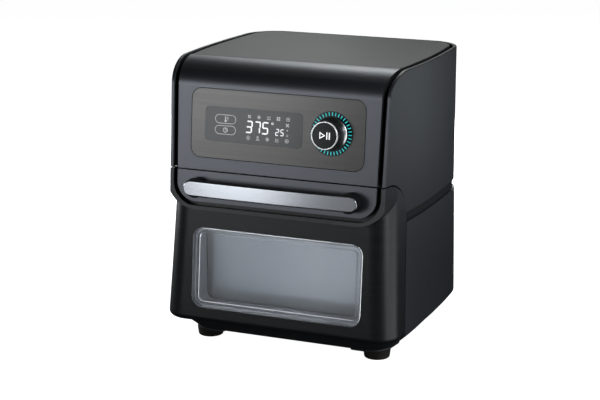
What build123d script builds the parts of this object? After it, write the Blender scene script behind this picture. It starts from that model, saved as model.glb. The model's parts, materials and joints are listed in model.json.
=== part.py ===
from build123d import *
from math import cos, radians, sin, sqrt, tan
import os

# Air fryer with a pull-out window drawer. Millimetres, +Z up, the front faces -Y.
# The origin is on the floor, under the middle of the box round the whole appliance.

# Body outline seen from above
belly_half = 154.2          # half width where the sides bulge most
front_draw = 11.1           # sides drawn in from there to the front plane at the split line
back_draw = 8.2             # sides drawn in from there to the back
belly_flare = 3.6           # sides further out at the bottom than at the split line
front_flare = 13.5          # the same at the front corners
widest_y = 0.0
front_y = -132.0            # front plane at the split line
back_y = 150.5
corner_radius = 46.0
plan_reach = 60.0           # outline drawn on ahead of the front plane

# Heights
height = 366.0              # floor to the flat of the top cover
head_rise = 134.5           # split line to the flat of the top cover
handle_zone = 49.8          # split line down to the lower edge of the raised frame
band_drop = 41.6            # split line down to the top of the seam band
band_height = 11.9
housing_bottom = 31.5
drawer_bottom = 34.8
foot_height = 12.0

# Front face
front_lean = 5.5            # degrees that the front leans back
brow_front_radius = 27.0    # curve from the front plane over to the top
brow_top_radius = 63.4
brow_break = 35.0           # degrees of slope where the two curves meet
rim_width = 4.7
groove_width = 5.7
groove_depth = 9.0
split_gap = 1.8             # dark line between the drawer and the body
rim_round = 1.2
cover_line = 0.8            # dark line between the front panel and the top cover

# Walls and clearances
drawer_wall = 3.0
cover_wall = 3.0
skirt_wall = 2.5
trim_wall = 2.5
frame_wall = 2.5
sheet_wall = 1.0            # bent sheet steel
seat_gap = 0.2              # between pieces screwed or clipped together
slide_gap = 0.4             # between pieces that slide past each other
shaft_gap = 0.05            # radial room of a turning shaft

# Drawer front
lower_recess = 11.5         # lower front behind the raised frame
drawer_corner = 30.0
frame_corner = 42.0
groove_corner = 30.0
bottom_round = 7.0
seam_setback = 53.0         # front plane back to the side seam, at the seam band
seam_lean = 5.0             # degrees that the side seam leans back
seam_radius = 42.0

# Window
window_side = 29.6          # side of the front to the edge of the glass
window_drop = 25.9          # raised frame down to the glass
window_rise = 20.5          # lower edge of the drawer up to the glass
window_corner = 13.0
window_proud = 0.8
window_seam = 0.9           # dark line round the glass
bezel_step = 3.4            # width of each step of the clear bezel
bezel_drop = 1.2
pane_thick = 2.4
glass_flange = 5.5          # clear flange behind the drawer wall
glass_flange_thick = 3.0
glass_thick = 3.0           # inner pane
inner_glass_margin = 3.0
tunnel_wall = 4.0
tunnel_step = 3.0           # tunnel mouth inside the bezel

# Handle
handle_half = 115.0
handle_height = 18.4
handle_drop = 20.8          # split line down to the middle of the bar
handle_reach = 23.5         # panel out to the middle of the bar's face
handle_bow = 4.0
face_thick = 4.0            # bright bar
face_round = 1.2
grip_thick = 4.5            # dark carrier behind it
grip_lip = 0.9              # carrier seen round the bright bar
post_inset = 13.0           # end of the bar in to the middle of its post
post_radius = 12.5

# Control front
plate_half = 115.0
plate_height = 86.0
plate_margin = 16.6         # split line up to the plate
plate_thick = 1.2
plate_corner = 13.0
plate_line = 0.6            # dark line round the plate
lens_width = 130.2
lens_height = 42.8
lens_x = -31.1
lens_corner = 6.0
lens_proud = 0.15
lens_ledge = 2.0
board_depth = 14.4          # panel face back to the control board
board_thick = 1.6
board_half = 104.0
board_height = 70.0
board_post = 3.5

# Dial
dial_x = 72.0
ring_radius = 26.9
ring_proud = 0.2
tick_count = 36
tick_radius = 23.9
tick_length = 4.4
tick_width = 1.0
knob_base_radius = 20.2
knob_face_radius = 17.4
knob_reach = 24.0
skirt_edge = 1.0            # straight edge round the foot of the knob
flare_height = 6.4          # from that edge up to the straight grip
knob_lift = 0.6             # running gap under the knob
knob_web = 1.5              # floor under the cap
bezel_width = 1.6
cap_depth = 6.0
cap_thick = 3.2
cap_sunk = 0.5
cap_round = 0.5
press_travel = 1.2
shaft_radius = 3.0
plunger_radius = 1.5
hub_radius = 6.5
bushing_radius = 4.5
encoder_side = 13.0
encoder_height = 6.4
encoder_floor = 1.2
switch_height = 1.2

# Cooking bay and drawer pot
bay_side_room = 16.6        # side of the front to the liner
bay_back_room = 18.5        # back wall to the liner
bay_floor = 38.0
bay_corner = 22.0
bay_head = 7.5              # split line down to the top of the liner
pot_drop = 28.5             # split line down to the rim of the pot
pot_lift = 6.0              # liner floor up to the pot
pot_back_room = 6.0
pot_wall = 1.2
pot_corner = 24.0
pot_foot_round = 8.0
pot_flange = 3.6
pot_screw_x = 84.0
rail_width = 4.5
rail_height = 8.0
cover_thick = 2.5           # inner cover of the drawer
cover_inset = 1.4           # seam plane forward to the inner cover
opening_room = 6.0          # bay opening beside the pot
seal_width = 5.0
seal_room = 2.0             # bay opening out to the seal

# Crisper
crisper_lift = 17.0         # pot floor up to the plate
crisper_thick = 1.6
crisper_room = 4.0
crisper_front_room = 10.5   # keeps the plate behind the bay frame when it is lifted
crisper_corner = 20.0
vent_radius = 3.4
vent_pitch = 15.0
vent_columns = 13
vent_rows = 11
bumper_radius = 7.0
bumper_stem = 3.0
bumper_cap = 5.5
bumper_cap_height = 2.4
bumper_edge = 15.0          # bumper centre in from the plate's edges

# Heater and fan
fan_y = 21.0
heater_side = 5.0           # liner side in to the heater housing
heater_front = 8.0          # liner front face back to the heater housing
heater_back = 9.0           # liner back in to the heater housing
heater_corner = 36.0
heater_rise = 57.0          # liner top up to the heater housing's roof
guard_rise = 11.0           # liner top up to the guard
guard_thick = 2.0
guard_frame = 6.0
guard_bar = 2.4
guard_bars = 9
element_rise = 23.0         # liner top up to the element's middle
element_radius = 3.2
element_ring = 79.0         # middle of the two rings
element_bend = 7.0          # return bend between the rings
element_open = 12.0         # degrees from the open ends to the middle
clip_width = 5.0
clip_thick = 1.5
clip_angles = (70.0, 180.0, 290.0)
hot_fan_radius = 64.0
hot_fan_rise = 33.0         # liner top up to the fan's lower edge
fan_disc = 1.5
blade_thick = 1.6
hot_blade_height = 12.0
hot_blades = 8
hot_blade_inner = 24.0
fan_hub_radius = 9.0
motor_shaft_radius = 2.5
shaft_tail = 10.0           # shaft past the fan hub
nut_radius = 5.5
nut_height = 4.0
bracket_rise = 5.0
bracket_thick = 2.0
bracket_side = 84.0
bracket_leg = 4.0
bracket_leg_inset = 7.0
motor_radius = 31.0
motor_height = 31.0
motor_round = 1.6
motor_cover = 6.0           # thickness of the motor's end caps
rotor_radius = 14.0
rotor_room = 1.0
bush_radius = 6.0
bush_length = 5.0
motor_screw_circle = 25.0
cooling_gap = 6.0           # motor up to the cooling fan
cooling_radius = 46.0
cooling_blade_height = 13.0
cooling_blades = 9
cooling_blade_inner = 16.0
guide_room = 7.0
guide_wall = 2.0
guide_height = 22.0
guide_bore = 15.5           # hole for the shaft
guide_mouth = 53.0          # width of the outlet at the back
probe_radius = 2.5
probe_length = 36.0
probe_outside = 12.0
probe_head = 5.0
probe_x = 82.0
probe_rise = 22.0           # liner top up to the probe
fuse_size = (16.0, 10.0, 7.0)
fuse_round = 1.6
fuse_spot = (70.0, -40.0)   # beside the fan axis

# Rear
duct_half = 46.0
duct_height = 22.0
duct_drop = 10.0            # heater roof down to the duct
grille_margin = 12.0
grille_thick = 2.5
grille_slot = 3.2
grille_slots = 8
gland_x = 88.0
gland_z = 74.0
gland_bore = 4.2
gland_neck = 7.8
gland_flange = 11.5
gland_flange_thick = 3.0
gland_reach = 7.5

# Power board
power_size = (66.0, 100.0, 1.6)
power_spot = (-82.0, 0.0)   # beside the fan axis
power_rise = 12.0           # heater roof up to the board
power_leg = 3.5
power_leg_inset = 7.0
transformer_size = (34.0, 30.0, 26.0)
transformer_round = 1.6
ribbon_width = 18.0
ribbon_thick = 1.0
ribbon_lift = 8.0

# Reed switch and magnet
magnet_radius = 4.0
magnet_length = 8.0
magnet_x = 124.0
magnet_z = 120.0
reed_size = (7.0, 12.0, 16.0)

# Base and feet
base_top_inset = 2.0
base_foot_inset = 17.0
base_front = 14.0           # front plane at the split line back to the base's upper edge
base_front_taper = 17.0
base_front_corner = 30.0
base_wall = 3.0
foot_top_radius = 17.5
foot_radius = 16.0
foot_round = 2.5
foot_front_x = 115.5
foot_back_x = 92.0
foot_front_y = -79.0
foot_back_y = 106.0
foot_pad = 2.0              # base thickened inside, over each foot
foot_pad_drop = 2.0         # pad below the base, round each foot
foot_pad_radius = 34.0

# Screws
screw_radius = 2.0
screw_head = 4.0
screw_head_height = 2.4
screw_slot = 1.0
screw_room = 0.2
foot_screw_sink = 5.0

# Sizes worked out from the ones above
far = 500.0                 # past everything
through = 125.0             # deep enough to cut through the front
overrun = 1.0               # a cut past the face where it starts
steep = 25.0                # degrees off upright of an edge still counted as upright
level = 1.0                 # degrees of turn of a face still counted as square to the front
lean = radians(front_lean)
split_z = height - head_rise
half_gap = split_gap / 2
band_top = split_z - band_drop
band_bottom = band_top - band_height
frame_bottom = split_z - handle_zone
plan_front = front_y - plan_reach
front_half = belly_half - front_draw
panel_inset = rim_width + groove_width
front_plane = Plane(origin=(0, front_y, split_z), x_dir=(1, 0, 0), z_dir=(0, -cos(lean), sin(lean)))

brow_start_slope = radians(90.0 - front_lean)
brow_slope = radians(brow_break)
brow_rise = (brow_front_radius * (cos(brow_slope) - cos(brow_start_slope))
             + brow_top_radius * (1 - cos(brow_slope)))
brow_start = (head_rise - brow_rise) / cos(lean)
brow_end_y = (front_y + brow_start * sin(lean)
              + brow_front_radius * (sin(brow_start_slope) - sin(brow_slope))
              + brow_top_radius * sin(brow_slope))

seam_y = front_y + seam_setback
seam_foot_y = seam_y - tan(radians(seam_lean)) * (band_top - drawer_bottom)

post_half = handle_half - post_inset
window_half = front_half - window_side
window_top = frame_bottom - window_drop
window_bottom = drawer_bottom + window_rise

plate_v = plate_margin + plate_height / 2
post_rows = (plate_v - board_height / 2 + 2 * board_post, plate_v + board_height / 2 - 2 * board_post)
post_columns = (-board_half + 2 * board_post, board_half - 2 * board_post)

bay_half = front_half - bay_side_room
bay_back = back_y - bay_back_room
bay_top = split_z - bay_head
bay_inner_half = bay_half - sheet_wall
pot_half = bay_inner_half - rail_width - slide_gap
pot_rim = split_z - pot_drop
pot_floor = bay_floor + sheet_wall + pot_lift
pot_back = bay_back - pot_back_room
cover_back = seam_foot_y - half_gap - cover_inset
cover_front = cover_back - cover_thick
pot_front = cover_back + glass_thick + 2 * seat_gap
opening_half = pot_half + opening_room
opening_top = pot_rim + opening_room / 2
opening_bottom = pot_floor - opening_room / 2
seal_inner_half = opening_half + seal_room
seal_outer_half = seal_inner_half + seal_width
seal_top = opening_top + seal_room / 2 + seal_width
crisper_z = pot_floor + pot_wall + crisper_lift

heater_half = bay_half - heater_side
heater_y0 = seam_y + half_gap + frame_wall + heater_front - heater_side
heater_y1 = bay_back - heater_back
heater_roof = bay_top + heater_rise
probe_z = bay_top + probe_rise
element_z = bay_top + element_rise
power_z = heater_roof + power_rise
motor_z = heater_roof + bracket_rise + bracket_thick
motor_top = motor_z + motor_height
cooling_z = motor_top + cooling_gap
hot_fan_z = bay_top + hot_fan_rise
duct_top = heater_roof - duct_drop
duct_bottom = duct_top - duct_height
duct_middle = (duct_top + duct_bottom) / 2
base_z = foot_height + foot_pad_drop


def side_half(y, inset=0.0, flare=0.0):
    # Half width of the outline at a station, drawn in by the inset, at the split line or flared to the foot.
    belly = belly_half + flare * belly_flare
    if y < widest_y:
        draw, reach = front_draw + flare * (belly_flare - front_flare), widest_y - front_y
    else:
        draw, reach = back_draw, back_y - widest_y
    radius = (draw ** 2 + reach ** 2) / (2 * draw)
    return belly - radius + sqrt((radius - inset) ** 2 - (y - widest_y) ** 2)


def plan_face(inset=0.0, front=plan_front, front_round=0.0, flare=0.0):
    # Outline seen from above: bulging sides, rounded back corners, straight front and back.
    back = back_y - inset

    def flank(side, start, end):
        stations = (start, (start + end) / 2, end)
        return ThreePointArc(*[(side * side_half(y, inset, flare), y) for y in stations])

    back_x = side_half(back, inset, flare)
    front_x = side_half(front, inset, flare)
    face = make_face([
        flank(1, front, widest_y),
        flank(1, widest_y, back),
        Line((back_x, back), (-back_x, back)),
        flank(-1, back, widest_y),
        flank(-1, widest_y, front),
        Line((-front_x, front), (front_x, front)),
    ])
    face = fillet(face.vertices().group_by(Axis.Y)[-1], corner_radius - inset)
    if front_round > 0:
        face = fillet(face.vertices().group_by(Axis.Y)[0], front_round)
    return face


def slab(face, low, high):
    return Pos(0, 0, low) * extrude(face, amount=high - low, dir=(0, 0, 1))


def lower_body(inset, low, high):
    # Body below the split line, flaring out towards the foot, between two levels.
    foot = Pos(0, 0, housing_bottom) * plan_face(inset, flare=1.0).face()
    body = loft([foot, Pos(0, 0, split_z) * plan_face(inset).face()], ruled=True)
    return body & block((-far, far), (-far, far), (low, high))


def block(x, y, z):
    # Box between the low and high value of each axis.
    middle = [(low + high) / 2 for low, high in (x, y, z)]
    return Pos(*middle) * Box(x[1] - x[0], y[1] - y[0], z[1] - z[0])


def disc(radius, low, high):
    return Pos(0, 0, low) * Cylinder(radius, high - low, align=(Align.CENTER, Align.CENTER, Align.MIN))


def pipe(radius, bore, low, high):
    return disc(radius, low, high) - disc(bore, low, high)


def along_y(radius, x, z, start, end):
    return Pos(x, start, z) * Rot(-90, 0, 0) * disc(radius, 0, end - start)


def front_spot(u, v, w=0.0):
    # Place on the leaning front: across, up the slope, out of it.
    return front_plane.location * Pos(u, v, w)


def slope_at(z, depth=0.0):
    # Distance up the slope of a height, on the front plane or behind it.
    return (z - split_z + depth * sin(lean)) / cos(lean)


def behind(depth):
    return front_spot(0, 0, -depth) * Box(far, far, far, align=(Align.CENTER, Align.CENTER, Align.MAX))


def front_slab(face, w_back, w_front):
    return front_spot(0, 0, w_back) * extrude(face, amount=w_front - w_back, dir=(0, 0, 1))


def across(face):
    # A side-view face, drawn as (y, z), run through the whole width.
    return extrude(Plane.YZ * face, amount=far, both=True)


def brow_profile(depth):
    # Side view of the leaning front, the two brow curves and the flat top, drawn in by the depth.
    start = Vector(front_y + brow_start * sin(lean), split_z + brow_start * cos(lean))

    def outward(slope):
        return Vector(-sin(slope), cos(slope))

    front_centre = start - outward(brow_start_slope) * brow_front_radius
    top_centre = front_centre + outward(brow_slope) * (brow_front_radius - brow_top_radius)

    def curve(centre, radius, start_slope, end_slope):
        slopes = (start_slope, (start_slope + end_slope) / 2, end_slope)
        return ThreePointArc(*[centre + outward(slope) * (radius - depth) for slope in slopes])

    front_curve = curve(front_centre, brow_front_radius, brow_start_slope, brow_slope)
    top_curve = curve(top_centre, brow_top_radius, brow_slope, 0.0)
    up_slope = Vector(sin(lean), cos(lean))
    foot = front_curve @ 0 - up_slope * far
    roof = Vector(far, height - depth)
    return make_face([
        Line(foot, front_curve @ 0),
        front_curve,
        top_curve,
        Line(top_curve @ 1, roof),
        Line(roof, Vector(far, foot.Y)),
        Line(Vector(far, foot.Y), foot),
    ])


def drawer_profile(grow):
    # Side view of the space the drawer front fills: level top, rounded corner, leaning side seam.
    seam_slope = tan(radians(seam_lean))
    top = split_z + grow
    foot = -far
    corners = [(-far, foot), (seam_y + grow + seam_slope * (foot - band_top), foot),
               (seam_y + grow + seam_slope * (top - band_top), top), (-far, top)]
    face = make_face(Polyline(*corners, close=True))
    corner = face.vertices().sort_by(Axis.Y)[-2:].sort_by(Axis.X)[-1]
    return fillet(corner, seam_radius + grow)


def channel_face(half, bottom, top, corner):
    # Front view with rounded lower corners, up the slope.
    face = Pos(0, (bottom + top) / 2) * Rectangle(2 * half, top - bottom)
    return fillet(face.vertices().group_by(Axis.Y)[0], corner)


def window_face(margin):
    # Front view of the window, on the lower front.
    low = slope_at(window_bottom, lower_recess)
    high = slope_at(window_top, lower_recess)
    outline = RectangleRounded(2 * (window_half + margin), high - low + 2 * margin, window_corner + margin)
    return Pos(0, (low + high) / 2) * outline


def screw(length):
    # Pan-head screw, head under the origin, shank up +Z.
    head = fillet(disc(screw_head, -screw_head_height, 0).edges().group_by(Axis.Z)[0], screw_head_height / 2)
    slot = block((-screw_head, screw_head), (-screw_slot / 2, screw_slot / 2),
                 (-screw_head_height, -screw_head_height + screw_slot))
    return head - slot + disc(screw_radius, 0, length)


def head_solid(depth):
    return across(brow_profile(depth))


def front_uprights(body):
    # The two edges that run up the front corners.
    return body.edges().filter_by(lambda edge: abs((edge % 0.5).Z) > cos(radians(steep))).group_by(Axis.Y)[0]


def leans_out(face):
    # True for a face that looks forward and up, as the rim round the head does.
    normal = face.normal_at()
    return abs(normal.X) < sin(radians(level)) and normal.dot(Vector(0, -1, 1)) > 0


def upper_housing():
    inner = plan_face(rim_width, plan_front - overrun)
    wall = slab(plan_face(), band_top, height) - slab(inner, band_top, height)
    shell = (wall & head_solid(0)) - across(drawer_profile(half_gap))
    edges = ShapeList([edge for face in shell.faces().filter_by(leans_out) for edge in face.edges()])
    long_edges = edges.filter_by(lambda edge: edge.length > 2 * rim_width)
    shell = fillet(long_edges, rim_round)
    duct_hole = block((-duct_half, duct_half), (widest_y, far), (duct_bottom, duct_top))
    return shell - duct_hole - grille_screw_holes()


def grille_spots():
    x = duct_half + grille_margin / 2
    rise = duct_height / 2 + grille_margin / 2
    return [(side * x, z) for side in (-1, 1) for z in (duct_middle - rise, duct_middle + rise)]


def grille_screw_holes():
    holes = [along_y(screw_radius + screw_room, x, z, widest_y, far) for x, z in grille_spots()]
    return Part() + holes


def lower_housing():
    outer = lower_body(0, housing_bottom, band_bottom)
    outer = fillet(outer.edges().group_by(Axis.Z)[0], bottom_round)
    inner = slab(plan_face(rim_width, plan_front - overrun), housing_bottom + bottom_round, band_bottom)
    lip_hole = slab(plan_face(bottom_round + rim_width, plan_front - overrun), housing_bottom, band_bottom)
    shell = outer - inner - lip_hole - across(drawer_profile(half_gap))
    return shell - along_y(gland_neck + seat_gap, gland_x, gland_z, widest_y, far)


def seam_band():
    web_inset = rim_width - trim_wall
    flange_inset = rim_width + seat_gap
    flange_face = plan_face(flange_inset) - plan_face(flange_inset + trim_wall, plan_front - overrun)
    web_face = plan_face(web_inset) - plan_face(flange_inset + trim_wall, plan_front - overrun)
    web = slab(web_face, band_bottom + seat_gap, band_top - seat_gap)
    flange = slab(flange_face, band_bottom - band_height, band_top + band_height)
    return (web + flange) - across(drawer_profile(half_gap + frame_wall + seat_gap))


def cover_face(inset):
    # Top cover seen from above, set back so that only a thin line is left behind it.
    shifted = Pos(0, groove_width - 2 * seat_gap) * plan_face(panel_inset + inset)
    return shifted & block((-far, far), (brow_end_y + cover_line / 2 + inset, far), (-overrun, overrun))


def top_cover():
    outer = slab(cover_face(0), height - groove_depth, height)
    outer = fillet(outer.edges().group_by(Axis.Z)[-1], rim_round)
    return outer - slab(cover_face(skirt_wall), height - groove_depth, height - cover_wall)


def front_panel():
    outline = slab(plan_face(panel_inset), split_z + half_gap, height)
    ahead = block((-far, far), (-far, brow_end_y - cover_line / 2), (0, far))
    shell = (head_solid(0) & outline & ahead) - head_solid(groove_depth + trim_wall)
    hollow = slab(plan_face(panel_inset + skirt_wall), split_z + half_gap + skirt_wall, height)
    shell -= (head_solid(cover_wall) & hollow & ahead)
    recess = RectangleRounded(2 * plate_half + 2 * plate_line, plate_height + 2 * plate_line,
                              plate_corner + plate_line)
    shell -= front_slab(Pos(0, plate_v) * recess, -plate_thick - seat_gap / 2, far)
    lens_hole = RectangleRounded(lens_width - 2 * lens_ledge, lens_height - 2 * lens_ledge,
                                 lens_corner - lens_ledge)
    shell -= front_slab(Pos(lens_x, plate_v) * lens_hole, -through, 0)
    shell -= front_spot(dial_x, plate_v) * disc(ring_radius + seat_gap, -through, 0)
    post = pipe(board_post, screw_radius, -board_depth, -cover_wall + seat_gap)
    for u in post_columns:
        for v in post_rows:
            shell += front_spot(u, v) * post
    return shell


def gutter_trims():
    ring = plan_face(rim_width + seat_gap) - plan_face(panel_inset - seat_gap, plan_front - overrun)
    strip = head_solid(groove_depth) & slab(ring, split_z + half_gap, height)
    strip -= head_solid(groove_depth + trim_wall)
    return strip & block((-far, far), (-far, back_y - corner_radius), (0, far))


def control_plate():
    plate = RectangleRounded(2 * plate_half, plate_height, plate_corner)
    lens_hole = RectangleRounded(lens_width + 2 * seat_gap, lens_height + 2 * seat_gap, lens_corner)
    face = Pos(0, plate_v) * plate - Pos(lens_x, plate_v) * lens_hole
    face -= Pos(dial_x, plate_v) * Circle(ring_radius + seat_gap)
    return front_slab(face, -plate_thick, 0)


def display_lens():
    outline = Pos(lens_x, plate_v) * RectangleRounded(lens_width, lens_height, lens_corner)
    return front_slab(outline, -plate_thick, lens_proud)


def display_module():
    outline = Rectangle(lens_width - 4 * lens_ledge, lens_height - 4 * lens_ledge)
    return front_slab(Pos(lens_x, plate_v) * outline, -board_depth, -plate_thick - seat_gap)


def control_board():
    board = front_slab(Pos(0, plate_v) * Rectangle(2 * board_half, board_height), -board_depth - board_thick,
                       -board_depth)
    hole = disc(screw_radius + screw_room, -board_depth - board_thick, -board_depth)
    for u in post_columns:
        for v in post_rows:
            board -= front_spot(u, v) * hole
    return board


def board_screws():
    length = board_thick + cover_wall + board_post
    spots = [(u, v) for u in post_columns for v in post_rows]
    return [front_spot(u, v, -board_depth - board_thick) * screw(length) for u, v in spots]


def tick_bars(low, high):
    bars = []
    for index in range(tick_count):
        bar = block((tick_radius - tick_length / 2, tick_radius + tick_length / 2),
                    (-tick_width / 2, tick_width / 2), (low, high))
        bars.append(Rot(0, 0, index * 360.0 / tick_count) * bar)
    return bars


def dial_mask_ring():
    ring = pipe(ring_radius, hub_radius, -plate_thick, ring_proud) - tick_bars(-plate_thick, ring_proud)
    return front_spot(dial_x, plate_v) * ring


def dial_light_guide():
    ring = pipe(ring_radius - seat_gap, hub_radius, -cover_wall, -plate_thick)
    return front_spot(dial_x, plate_v) * (ring + tick_bars(-cover_wall, ring_proud))


def encoder():
    floor = -board_depth
    body = block((-encoder_side / 2, encoder_side / 2), (-encoder_side / 2, encoder_side / 2),
                 (floor, floor + encoder_height))
    body += disc(bushing_radius, floor, -plate_thick)
    body -= disc(shaft_radius + shaft_gap, floor + encoder_floor, 0)
    body += disc(plunger_radius, floor, floor + encoder_floor + switch_height)
    return front_spot(dial_x, plate_v) * body


def dial_shaft_low():
    return -board_depth + encoder_floor + switch_height / 2


def encoder_shaft():
    tube = pipe(shaft_radius, plunger_radius + shaft_gap, dial_shaft_low(), knob_reach - cap_depth)
    return front_spot(dial_x, plate_v) * tube


def dial_knob():
    # Straight grip that flares out to a skirt, turned from half a section.
    skirt_top = knob_lift + skirt_edge
    flare_top = skirt_top + flare_height
    section = make_face([
        TangentArc((knob_face_radius, flare_top), (knob_base_radius, skirt_top), tangent=(0, -1)),
        Polyline((knob_base_radius, skirt_top), (knob_base_radius, knob_lift), (0, knob_lift), (0, knob_reach),
                 (knob_face_radius, knob_reach), (knob_face_radius, flare_top)),
    ])
    body = revolve(Plane.XZ * section, Axis.Z)
    body = fillet(body.edges().filter_by(GeomType.CIRCLE).sort_by(Axis.Z)[-1], bezel_width / 2)
    cap_hole = disc(knob_face_radius - bezel_width, knob_reach - cap_depth, knob_reach)
    skirt_hole = disc(knob_face_radius - bezel_width, knob_lift, knob_reach - cap_depth - knob_web)
    hub = pipe(hub_radius, shaft_radius, knob_lift + ring_proud, knob_reach - cap_depth)
    body -= cap_hole + skirt_hole + disc(shaft_radius, 0, knob_reach)
    return front_spot(dial_x, plate_v) * (body + hub)


def button_cap():
    top = knob_reach - cap_sunk
    radius = knob_face_radius - bezel_width - slide_gap
    cap = disc(radius, top - cap_thick, top)
    cap = fillet(cap.edges().group_by(Axis.Z)[-1], cap_round)
    return front_spot(dial_x, plate_v) * cap


def button_plunger():
    low = -board_depth + encoder_floor + switch_height + press_travel + seat_gap
    return front_spot(dial_x, plate_v) * disc(plunger_radius, low, knob_reach - cap_sunk - cap_thick)


def base_block(wall, low, high):
    # Base between two levels, tapering in towards the feet, drawn in by the wall.
    front = front_y + base_front + wall
    corner = base_front_corner - wall
    sole = plan_face(base_foot_inset + wall, front + base_front_taper, corner)
    rim = plan_face(base_top_inset + wall, front, corner)
    return loft([Pos(0, 0, low) * sole.face(), Pos(0, 0, high) * rim.face()], ruled=True)


def base_pan():
    pan = base_block(0, base_z, housing_bottom - seat_gap)
    pan -= base_block(base_wall, base_z + base_wall, housing_bottom)
    sole = plan_face(base_foot_inset, front_y + base_front + base_front_taper, base_front_corner)
    for x, y in foot_spots():
        pad = sole & Pos(x, y) * Circle(foot_pad_radius)
        pan += slab(pad, foot_height, base_z + base_wall + foot_pad)
        pan -= Pos(x, y) * disc(screw_radius, 0, base_z + base_wall + foot_pad)
    return pan


def foot_spots():
    places = ((foot_front_x, foot_front_y), (foot_back_x, foot_back_y))
    return [(side * x, y) for side in (-1, 1) for x, y in places]


def rubber_feet():
    body = loft([Circle(foot_radius), Pos(0, 0, foot_height) * Circle(foot_top_radius)])
    body = fillet(body.edges().filter_by(GeomType.CIRCLE).sort_by(Axis.Z)[0], foot_round)
    body -= disc(screw_head + screw_room, 0, foot_screw_sink)
    body -= disc(screw_radius + screw_room, 0, foot_height)
    return [Pos(x, y) * body for x, y in foot_spots()]


def foot_screws():
    length = base_z - foot_screw_sink + base_wall + foot_pad
    return [Pos(x, y, foot_screw_sink) * screw(length) for x, y in foot_spots()]


def drawer_bay_frame():
    outline = slab(plan_face(rim_width + seat_gap), housing_bottom + bottom_round + seat_gap, split_z + far)
    frame = across(drawer_profile(half_gap + frame_wall)) - across(drawer_profile(half_gap))
    ahead = behind(groove_depth + trim_wall + seat_gap)
    frame = frame & outline & ahead
    opening = block((-opening_half, opening_half), (-far, far), (opening_bottom, opening_top))
    return frame - opening


def inner_liner():
    front = front_y
    shell = block((-bay_half, bay_half), (front, bay_back), (bay_floor, bay_top))
    shell = fillet(shell.edges().filter_by(Axis.Z).group_by(Axis.Y)[-1], bay_corner)
    hollow = block((-bay_inner_half, bay_inner_half), (front, bay_back - sheet_wall),
                   (bay_floor + sheet_wall, bay_top))
    hollow = fillet(hollow.edges().filter_by(Axis.Z).group_by(Axis.Y)[-1], bay_corner - sheet_wall)
    liner = shell - hollow
    return liner - across(drawer_profile(half_gap + frame_wall + seat_gap))


def drawer_rails():
    top = pot_rim - pot_wall - seat_gap
    rails = []
    for side in (-1, 1):
        inner = side * (bay_inner_half - rail_width)
        outer = side * bay_inner_half
        rail = block((min(inner, outer), max(inner, outer)), (seam_y + half_gap + frame_wall + bay_corner,
                     bay_back - sheet_wall - bay_corner), (top - rail_height, top))
        rails.append(fillet(rail.edges().filter_by(Axis.Z), rail_width / 3))
    return rails


def heater_plan(inset):
    width = 2 * (heater_half - inset)
    depth = heater_y1 - heater_y0 - 2 * inset
    return Pos(0, (heater_y0 + heater_y1) / 2) * RectangleRounded(width, depth, heater_corner - inset)


def heater_housing():
    pan = slab(heater_plan(0), bay_top + seat_gap, heater_roof)
    flange = RectangleRounded(2 * bay_half, bay_back - heater_y0, bay_corner)
    flange_low = bay_top + seat_gap
    pan += slab(Pos(0, (heater_y0 + bay_back) / 2) * flange, flange_low, flange_low + sheet_wall)
    pan -= slab(heater_plan(sheet_wall), bay_top, heater_roof - sheet_wall)
    pan -= block((-duct_half, duct_half), (fan_y, far), (duct_bottom, duct_top))
    pan -= Pos(0, fan_y) * disc(bush_radius + rotor_room, bay_top, far)
    for x, y in element_ends():
        pan -= Pos(x, y) * disc(element_radius + slide_gap, bay_top, far)
    return pan - along_y(probe_radius + slide_gap, probe_x, probe_z, heater_y0 - sheet_wall, fan_y)


def heater_guard():
    low = bay_top + guard_rise
    frame = heater_plan(sheet_wall + seat_gap) - heater_plan(sheet_wall + guard_frame)
    inside = heater_plan(sheet_wall + seat_gap)
    pitch = 2 * heater_half / (guard_bars + 1)
    middle = (heater_y0 + heater_y1) / 2
    for index in range(guard_bars):
        x = (index + 1) * pitch - heater_half
        frame += inside & Pos(x, middle) * Rectangle(guard_bar, far)
    frame += inside & Pos(0, middle) * Rectangle(far, guard_bar)
    return slab(frame, low, low + guard_thick)


def ring_point(radius, angle):
    turn = radians(angle)
    return Vector(radius * cos(turn), fan_y + radius * sin(turn), element_z)


def element_radii():
    return element_ring + element_bend, element_ring - element_bend


def element_ends():
    return [(point.X, point.Y) for point in (ring_point(radius, element_open) for radius in element_radii())]


def heating_element():
    # Outer ring, return bend and inner ring in one tube, with both ends turned up through the roof.
    outer, inner = element_radii()
    close = 360.0 - element_open
    tangent = ring_point(1.0, close + 90.0) - ring_point(0.0, close)
    bend = ring_point(element_ring, close) + tangent * element_bend
    path = Wire([
        ThreePointArc(ring_point(outer, element_open), ring_point(outer, 180.0), ring_point(outer, close)),
        ThreePointArc(ring_point(outer, close), bend, ring_point(inner, close)),
        ThreePointArc(ring_point(inner, close), ring_point(inner, 180.0), ring_point(inner, element_open)),
    ])
    section = Plane(origin=path @ 0, z_dir=path % 0) * Circle(element_radius)
    element = sweep(section, path=path)
    for x, y in element_ends():
        element += Pos(x, y, element_z) * Sphere(element_radius)
        element += Pos(x, y) * disc(element_radius, element_z, heater_roof + bracket_rise)
    return element


def heater_clips():
    top = heater_roof - sheet_wall - seat_gap
    low = element_z + element_radius + seat_gap
    outer, inner = element_radii()
    half = clip_width / 2
    strip = block((inner - half, outer + half), (-half, half), (low, low + clip_thick))
    riser = block((element_ring - half, element_ring + half), (-half, half), (low, top))
    return [Pos(0, fan_y) * Rot(0, 0, angle) * (strip + riser) for angle in clip_angles]


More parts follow.
